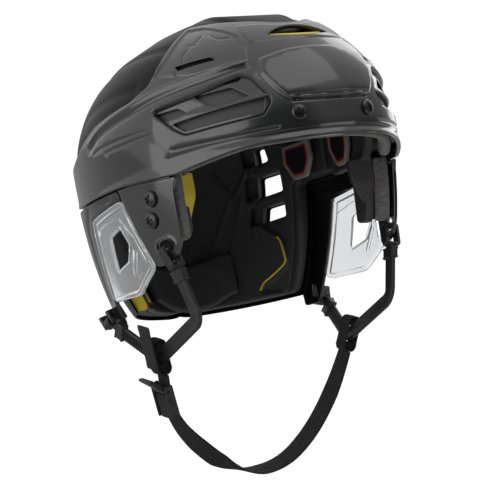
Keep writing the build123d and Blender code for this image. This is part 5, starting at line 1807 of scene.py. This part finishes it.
rear_clip.block(rear_neck, (rear_across, rear_along, OUTWARDS), (3.6, 6.2, 3.4), 0.8)
sleeve_on(rear_clip, REAR_POINT + rear_leg * 8.0, rear_leg)
for maker, name in ((front_clip, "front_strap_clip"), (rear_clip, "rear_strap_clip")):
    dress_on_loops(pair_of(maker, f"{name}_moulded", band_rubber), name)

# %% Horns of the side frames
horn = Maker()
for start in (4.3, -6.9):
    middle = rear_anchor + ALONG * (start + 1.3) + OUTWARDS * -4.65 - DOWN * 2.7
    horn.block(middle, (OUTWARDS, DOWN, ALONG), (14.5, 10.6, 2.6), 0.8)
horn.turned(rear_anchor - ALONG * 7.3, ALONG, [(0, 1.2), (0.4, 1.9), (14.2, 1.9), (14.6, 1.2)], 20)
for piece in pair_of(horn, "side_frame_horn", black_gloss):
    dress(piece, "helmet", "black_gloss")

# %% [markdown]
# ## Chin strap
#
# The chin strap is flat webbing that hangs in a slack curve between the two loops. Its line is a
# spline along the route that the CAD model uses. The webbing is swept along points read from the
# spline, with soft edges, and its own map carries the weave along it.

# %% Webbing
ACROSS = 15


def webbing_piece(name, path, sides, ups, width, thickness, closed=False):
    """Flat webbing along a path, with a map whose first axis is metres along it."""
    half, thick = width / 2, thickness / 2
    across = np.concatenate([np.linspace(-half, half, ACROSS), np.linspace(half, -half, ACROSS)])
    bulge = thick * np.sqrt(np.clip(1 - (np.abs(across) / half) ** 8, 0.0, 1.0))
    section = np.column_stack([across, np.where(np.arange(2 * ACROSS) < ACROSS, bulge, -bulge)])
    section = np.delete(section, (ACROSS, 2 * ACROSS - 1), axis=0)
    around, count = len(section), len(path)
    rings = np.vstack([path[k] + section[:, :1] * sides[k] + section[:, 1:] * ups[k] for k in range(count)])
    length = np.concatenate([[0.0], np.cumsum(np.linalg.norm(np.diff(path, axis=0), axis=1))]) * MM
    last_step = np.linalg.norm(path[0] - path[-1]) * MM
    faces, maps = [], []
    for k in range(count if closed else count - 1):
        a, b = k * around, ((k + 1) % count) * around
        u1, u2 = length[k], length[k] + last_step if k == count - 1 else length[k + 1]
        for j in range(around):
            i = (j + 1) % around
            faces.append((a + j, a + i, b + i, b + j))
            v1, v2 = section[j, 0] / width + 0.5, section[i, 0] / width + 0.5
            maps += [(u1, v1), (u1, v2), (u2, v2), (u2, v1)]
    if not closed:
        for ring, u in ((0, length[0]), (count - 1, length[-1])):
            order = list(range(around)) if ring else list(range(around))[::-1]
            faces.append(tuple(ring * around + j for j in order))
            maps += [(u, section[j, 0] / width + 0.5) for j in order]
    piece = new_object(name, rings * MM, faces, webbing, 50.0)
    layer = piece.data.uv_layers.new(name="weave")
    layer.data.foreach_set("uv", np.array(maps, float).ravel())
    return faced_out(piece)


# %% Chin strap
STRAP_PLANE = -32.806
HALF_SPAN, STRAP_TOP, STRAP_DROP = 79.778, -152.455, 83.0
STRAP_WIDTH, STRAP_THICK = 16.0, 1.7
BACKWARDS = np.array((0.0, 1.0, 0.0))
route = [
    (-1.0, 0.0), (-0.974, 0.162), (-0.918, 0.332), (-0.803, 0.507), (-0.602, 0.701), (-0.326, 0.901),
    (0.0, 1.0), (0.326, 0.937), (0.583, 0.737), (0.778, 0.483), (0.921, 0.211), (1.0, 0.0),
]
route_points = [(x * HALF_SPAN * MM, STRAP_PLANE * MM, (STRAP_TOP - z * STRAP_DROP) * MM) for x, z in route]
line_data = bpy.data.curves.new("strap_line", "CURVE")
line_data.dimensions = "3D"
line_data.resolution_u = 10
spline = line_data.splines.new("NURBS")
spline.points.add(len(route_points) - 1)
for point, place in zip(spline.points, route_points):
    point.co = (*place, 1.0)
spline.order_u = 3
spline.use_endpoint_u = True
line_object = in_scene("strap_line", line_data)
line_mesh = bpy.data.meshes.new_from_object(line_object)
strap_path = np.array([v.co[:] for v in line_mesh.vertices]) / MM
bpy.data.objects.remove(line_object)
strap_way = units(np.gradient(strap_path, axis=0))
straight_back = np.repeat([BACKWARDS], len(strap_path), axis=0)
strap_ups = np.cross(strap_way, straight_back)
# Shares of the strap's run from the right ring, and its twist there in degrees.
TWIST_AT = (0.0, 0.1, 0.22, 0.34, 0.42, 0.5, 0.57, 0.75, 0.9, 1.0)
TWIST = (0.0, 0.0, -16.0, -38.0, -42.0, -6.0, 14.0, 14.0, 11.0, 0.0)
strap_run = np.linspace(0.0, 1.0, len(strap_path))
strap_twist = np.radians(np.interp(strap_run, TWIST_AT, TWIST))[:, None]
strap_sides = straight_back * np.cos(strap_twist) + strap_ups * np.sin(strap_twist)
strap_ups = strap_ups * np.cos(strap_twist) - straight_back * np.sin(strap_twist)
strap_length = float(np.linalg.norm(np.diff(strap_path, axis=0), axis=1).sum()) * MM
chin_strap = webbing_piece("chin_strap_webbing", strap_path, strap_sides, strap_ups, STRAP_WIDTH, STRAP_THICK)
dress(chin_strap, "chin_strap", "webbing", "chin_strap")
print("chin strap", round(strap_length, 4), "m along its spline")

# %% [markdown]
# ## Webbing rings and the free end
#
# At each end the webbing is folded round the loop's corner and sewn to itself, so layers of it lie
# above and below the loop inside each ring. The free end stands up outside the right ring. Rows of
# stitches hold the folds.

# %% Rings and free end
FOLD_THICK = 1.6
FOLD_LAYERS = (-2.55, -0.85, 0.85, 2.55)
FOLD_START, OUTER_FOLD_START = 6.1, 7.9


def flat_run(name, start, end, count, side, up, width, thickness):
    """A straight run of webbing between two points."""
    line = np.array([start + (end - start) * t for t in np.linspace(0, 1, count)])
    return webbing_piece(name, line, [side] * count, [up] * count, width, thickness)


def ring_frames(side):
    """A ring's path, its ways out, its middle, and its own directions up and out."""
    lean = math.radians(15.0)
    up = np.array((-math.sin(lean), 0.0, math.cos(lean)))
    out = np.array((-math.cos(lean), 0.0, -math.sin(lean)))
    middle = np.array((-82.780, STRAP_PLANE, -141.250)) + up * 2.0
    flip = np.array((1.0 if side == "right" else -1.0, 1.0, 1.0))
    line, outs = ring_path(9.9, 25.7, 4.6, 0.6)
    path = (middle + line[:, :1] * out + line[:, 1:] * up) * flip
    return path, (outs[:, :1] * out + outs[:, 1:] * up) * flip, middle * flip, up * flip, out * flip


RINGS = [(side, *ring_frames(side)) for side in ("right", "left")]
rings, folds = [], []
for side, path, outs, middle, up, out in RINGS:
    sides = [BACKWARDS] * len(path)
    ring = webbing_piece(f"strap_ring_{side}_webbing", path, sides, outs, 12.0, FOLD_THICK, closed=True)
    dress(ring, "chin_strap", "webbing", f"strap_ring_{side}")
    rings.append(ring)
for side, path, outs, middle, up, out in RINGS:
    for layer, end in [(layer, end) for layer in FOLD_LAYERS for end in (1, -1)]:
        first = OUTER_FOLD_START if layer == FOLD_LAYERS[-1] and end > 0 else FOLD_START
        last = 11.6 - abs(layer) * 0.5
        root = middle + out * layer
        fold = flat_run(f"strap_fold_{side}_{len(folds)}", root + up * end * first, root + up * end * last, 8,
                        BACKWARDS, out, 11.6, FOLD_THICK)
        dress(fold, "chin_strap", "webbing")
        folds.append(fold)
tail_start, tail_end = np.array((-87.95, STRAP_PLANE, -148.23)), np.array((-96.49, STRAP_PLANE, -116.35))
tail_way = unit(tail_end - tail_start)
tail_out = np.cross(BACKWARDS, tail_way)
tail = flat_run("strap_tail_webbing", tail_start, tail_end, 25, BACKWARDS, tail_out, STRAP_WIDTH, STRAP_THICK)
dress(tail, "chin_strap", "webbing", "strap_tail")

# %% Stitches
stitch = Maker()
stitch.block((0, 0, 0.02), np.eye(3), (1.9, 0.55, 0.5), 0.22, 2)
stitch_shape = stitch.made("stitch_shape", band_rubber)
RING_FACE, TAIL_FACE = 5.78, 0.86
RING_ROWS, TAIL_ROWS = (-9.3, -7.9), (1.6, 3.2, 29.6, 31.2)


def stitch_row(middle, top, y_start, y_end, step):
    """Places of one row of stitches across the webbing."""
    return [(middle + BACKWARDS * y, top, BACKWARDS) for y in np.arange(y_start, y_end, step)]


places = []
for side, path, outs, middle, up, out in RINGS:
    for face in (1, -1):
        for row in RING_ROWS:
            places += stitch_row(middle + up * row + out * face * RING_FACE, out * face, -4.6, 4.8, 2.3)
for row in TAIL_ROWS:
    for face in (1, -1):
        where = tail_start + tail_way * row + tail_out * TAIL_FACE * face
        places += stitch_row(where, tail_out * face, -6.6, 6.8, 2.2)
stitches = set_rows("strap_stitches", stitch_shape, places, band_rubber)
dress(stitches, "chin_strap", "webbing")
bpy.data.objects.remove(stitch_shape)

# %% [markdown]
# ## Buckle
#
# The buckle is a frame of two rails and two bars, a pin across it, and a lever whose ridged tab is
# pushed to let the webbing slip.

# %% Buckle
turn_down = math.radians(17.0)
buckle_down = np.array((math.sin(turn_down), 0.0, -math.cos(turn_down)))
buckle_out = np.array((-math.cos(turn_down), 0.0, -math.sin(turn_down)))
buckle_middle = np.array((-75.949, STRAP_PLANE, -171.545))
buckle_axes = (buckle_out, BACKWARDS, buckle_down)
frame_maker = Maker()
for side in (1, -1):
    centre = buckle_middle + buckle_out * 2.1 + BACKWARDS * side * 9.4
    frame_maker.block(centre, buckle_axes, (7.0, 2.2, 26.0), 0.9, 4)
for along in (11.2, 1.8):
    centre = buckle_middle + buckle_out * 1.95 + buckle_down * along
    frame_maker.block(centre, buckle_axes, (1.6, 18.4, 3.6), 0.6)
fold_root = buckle_middle + buckle_out * 3.75
fold_start, fold_end = (fold_root + buckle_down * t for t in (-5.4, 12.8))
buckle_fold = flat_run("buckle_webbing_fold", fold_start, fold_end, 20, BACKWARDS, buckle_out, STRAP_WIDTH,
                       FOLD_THICK)
dress(buckle_fold, "chin_strap", "webbing")
buckle_frame = frame_maker.made("buckle_frame_moulded", black_satin)
dress(buckle_frame, "chin_strap", "black_gloss", "buckle_frame")
lever_pin = buckle_middle + buckle_down * -9.1 + buckle_out * 3.45
pin = Maker()
pin.turned(lever_pin - BACKWARDS * 10.5, BACKWARDS, [(0, 0.7), (0.3, 1.05), (20.7, 1.05), (21.0, 0.7)], 20)
buckle_pin = pin.made("buckle_pin_turned", bright_steel)
dress(buckle_pin, "chin_strap", "bright_steel", "buckle_pin")
LEVER_REACH, LEVER_RIDGES = 16.0, 5
lever_rise = math.radians(30)
lever_way = np.array((-math.cos(lever_rise), 0.0, math.sin(lever_rise)))
lever_top = np.array((math.sin(lever_rise), 0.0, math.cos(lever_rise)))
lever = Maker()
lever.turned(lever_pin - BACKWARDS * 7.9, BACKWARDS, [(0, 1.9), (0.4, 2.3), (15.4, 2.3), (15.8, 1.9)], 28)
lever.block(lever_pin + lever_way * 8.6, (lever_way, BACKWARDS, lever_top), (14.6, 15.8, 2.5), 0.9, 4)
buckle_lever = lever.made("buckle_lever_moulded", black_satin)
dress(buckle_lever, "buckle_lever", "black_gloss", "buckle_lever")
ridge = Maker()
ridge_path = [(x, 0, 0) for x in np.linspace(-6.9, 6.9, 6)]
ridge.sweep(ridge_path, [(0, 1, 0)] * 6, [(0, 0, 1)] * 6, rounded_section(1.7, 1.7, 0.8), end_radius=0.6)
ridge_shape = ridge.made("ridge_shape", black_satin)
ridge_places = []
for k in range(LEVER_RIDGES):
    place = lever_pin + lever_way * LEVER_REACH * (0.31 + 0.69 * k / LEVER_RIDGES) + lever_top * 1.25
    ridge_places.append((place, lever_top, BACKWARDS))
ridges = set_rows("buckle_lever_ridges", ridge_shape, ridge_places, black_satin)
dress(ridges, "buckle_lever", "black_gloss")
bpy.data.objects.remove(ridge_shape)

# %% [markdown]
# ## Nuts and guides
#
# The nuts behind the screws and the guides of the size adjuster have the right shape already, so
# their CAD nodes stay and take a steel and a satin plastic finish.

# %% Nuts and guides
for name, material in (("forehead_nuts", black_steel), ("ear_nuts", black_steel),
                       ("adjuster_guide_right", black_satin), ("adjuster_guide_left", black_satin)):
    nodes[name].data.materials.clear()
    nodes[name].data.materials.append(material)
    print("kept", name)
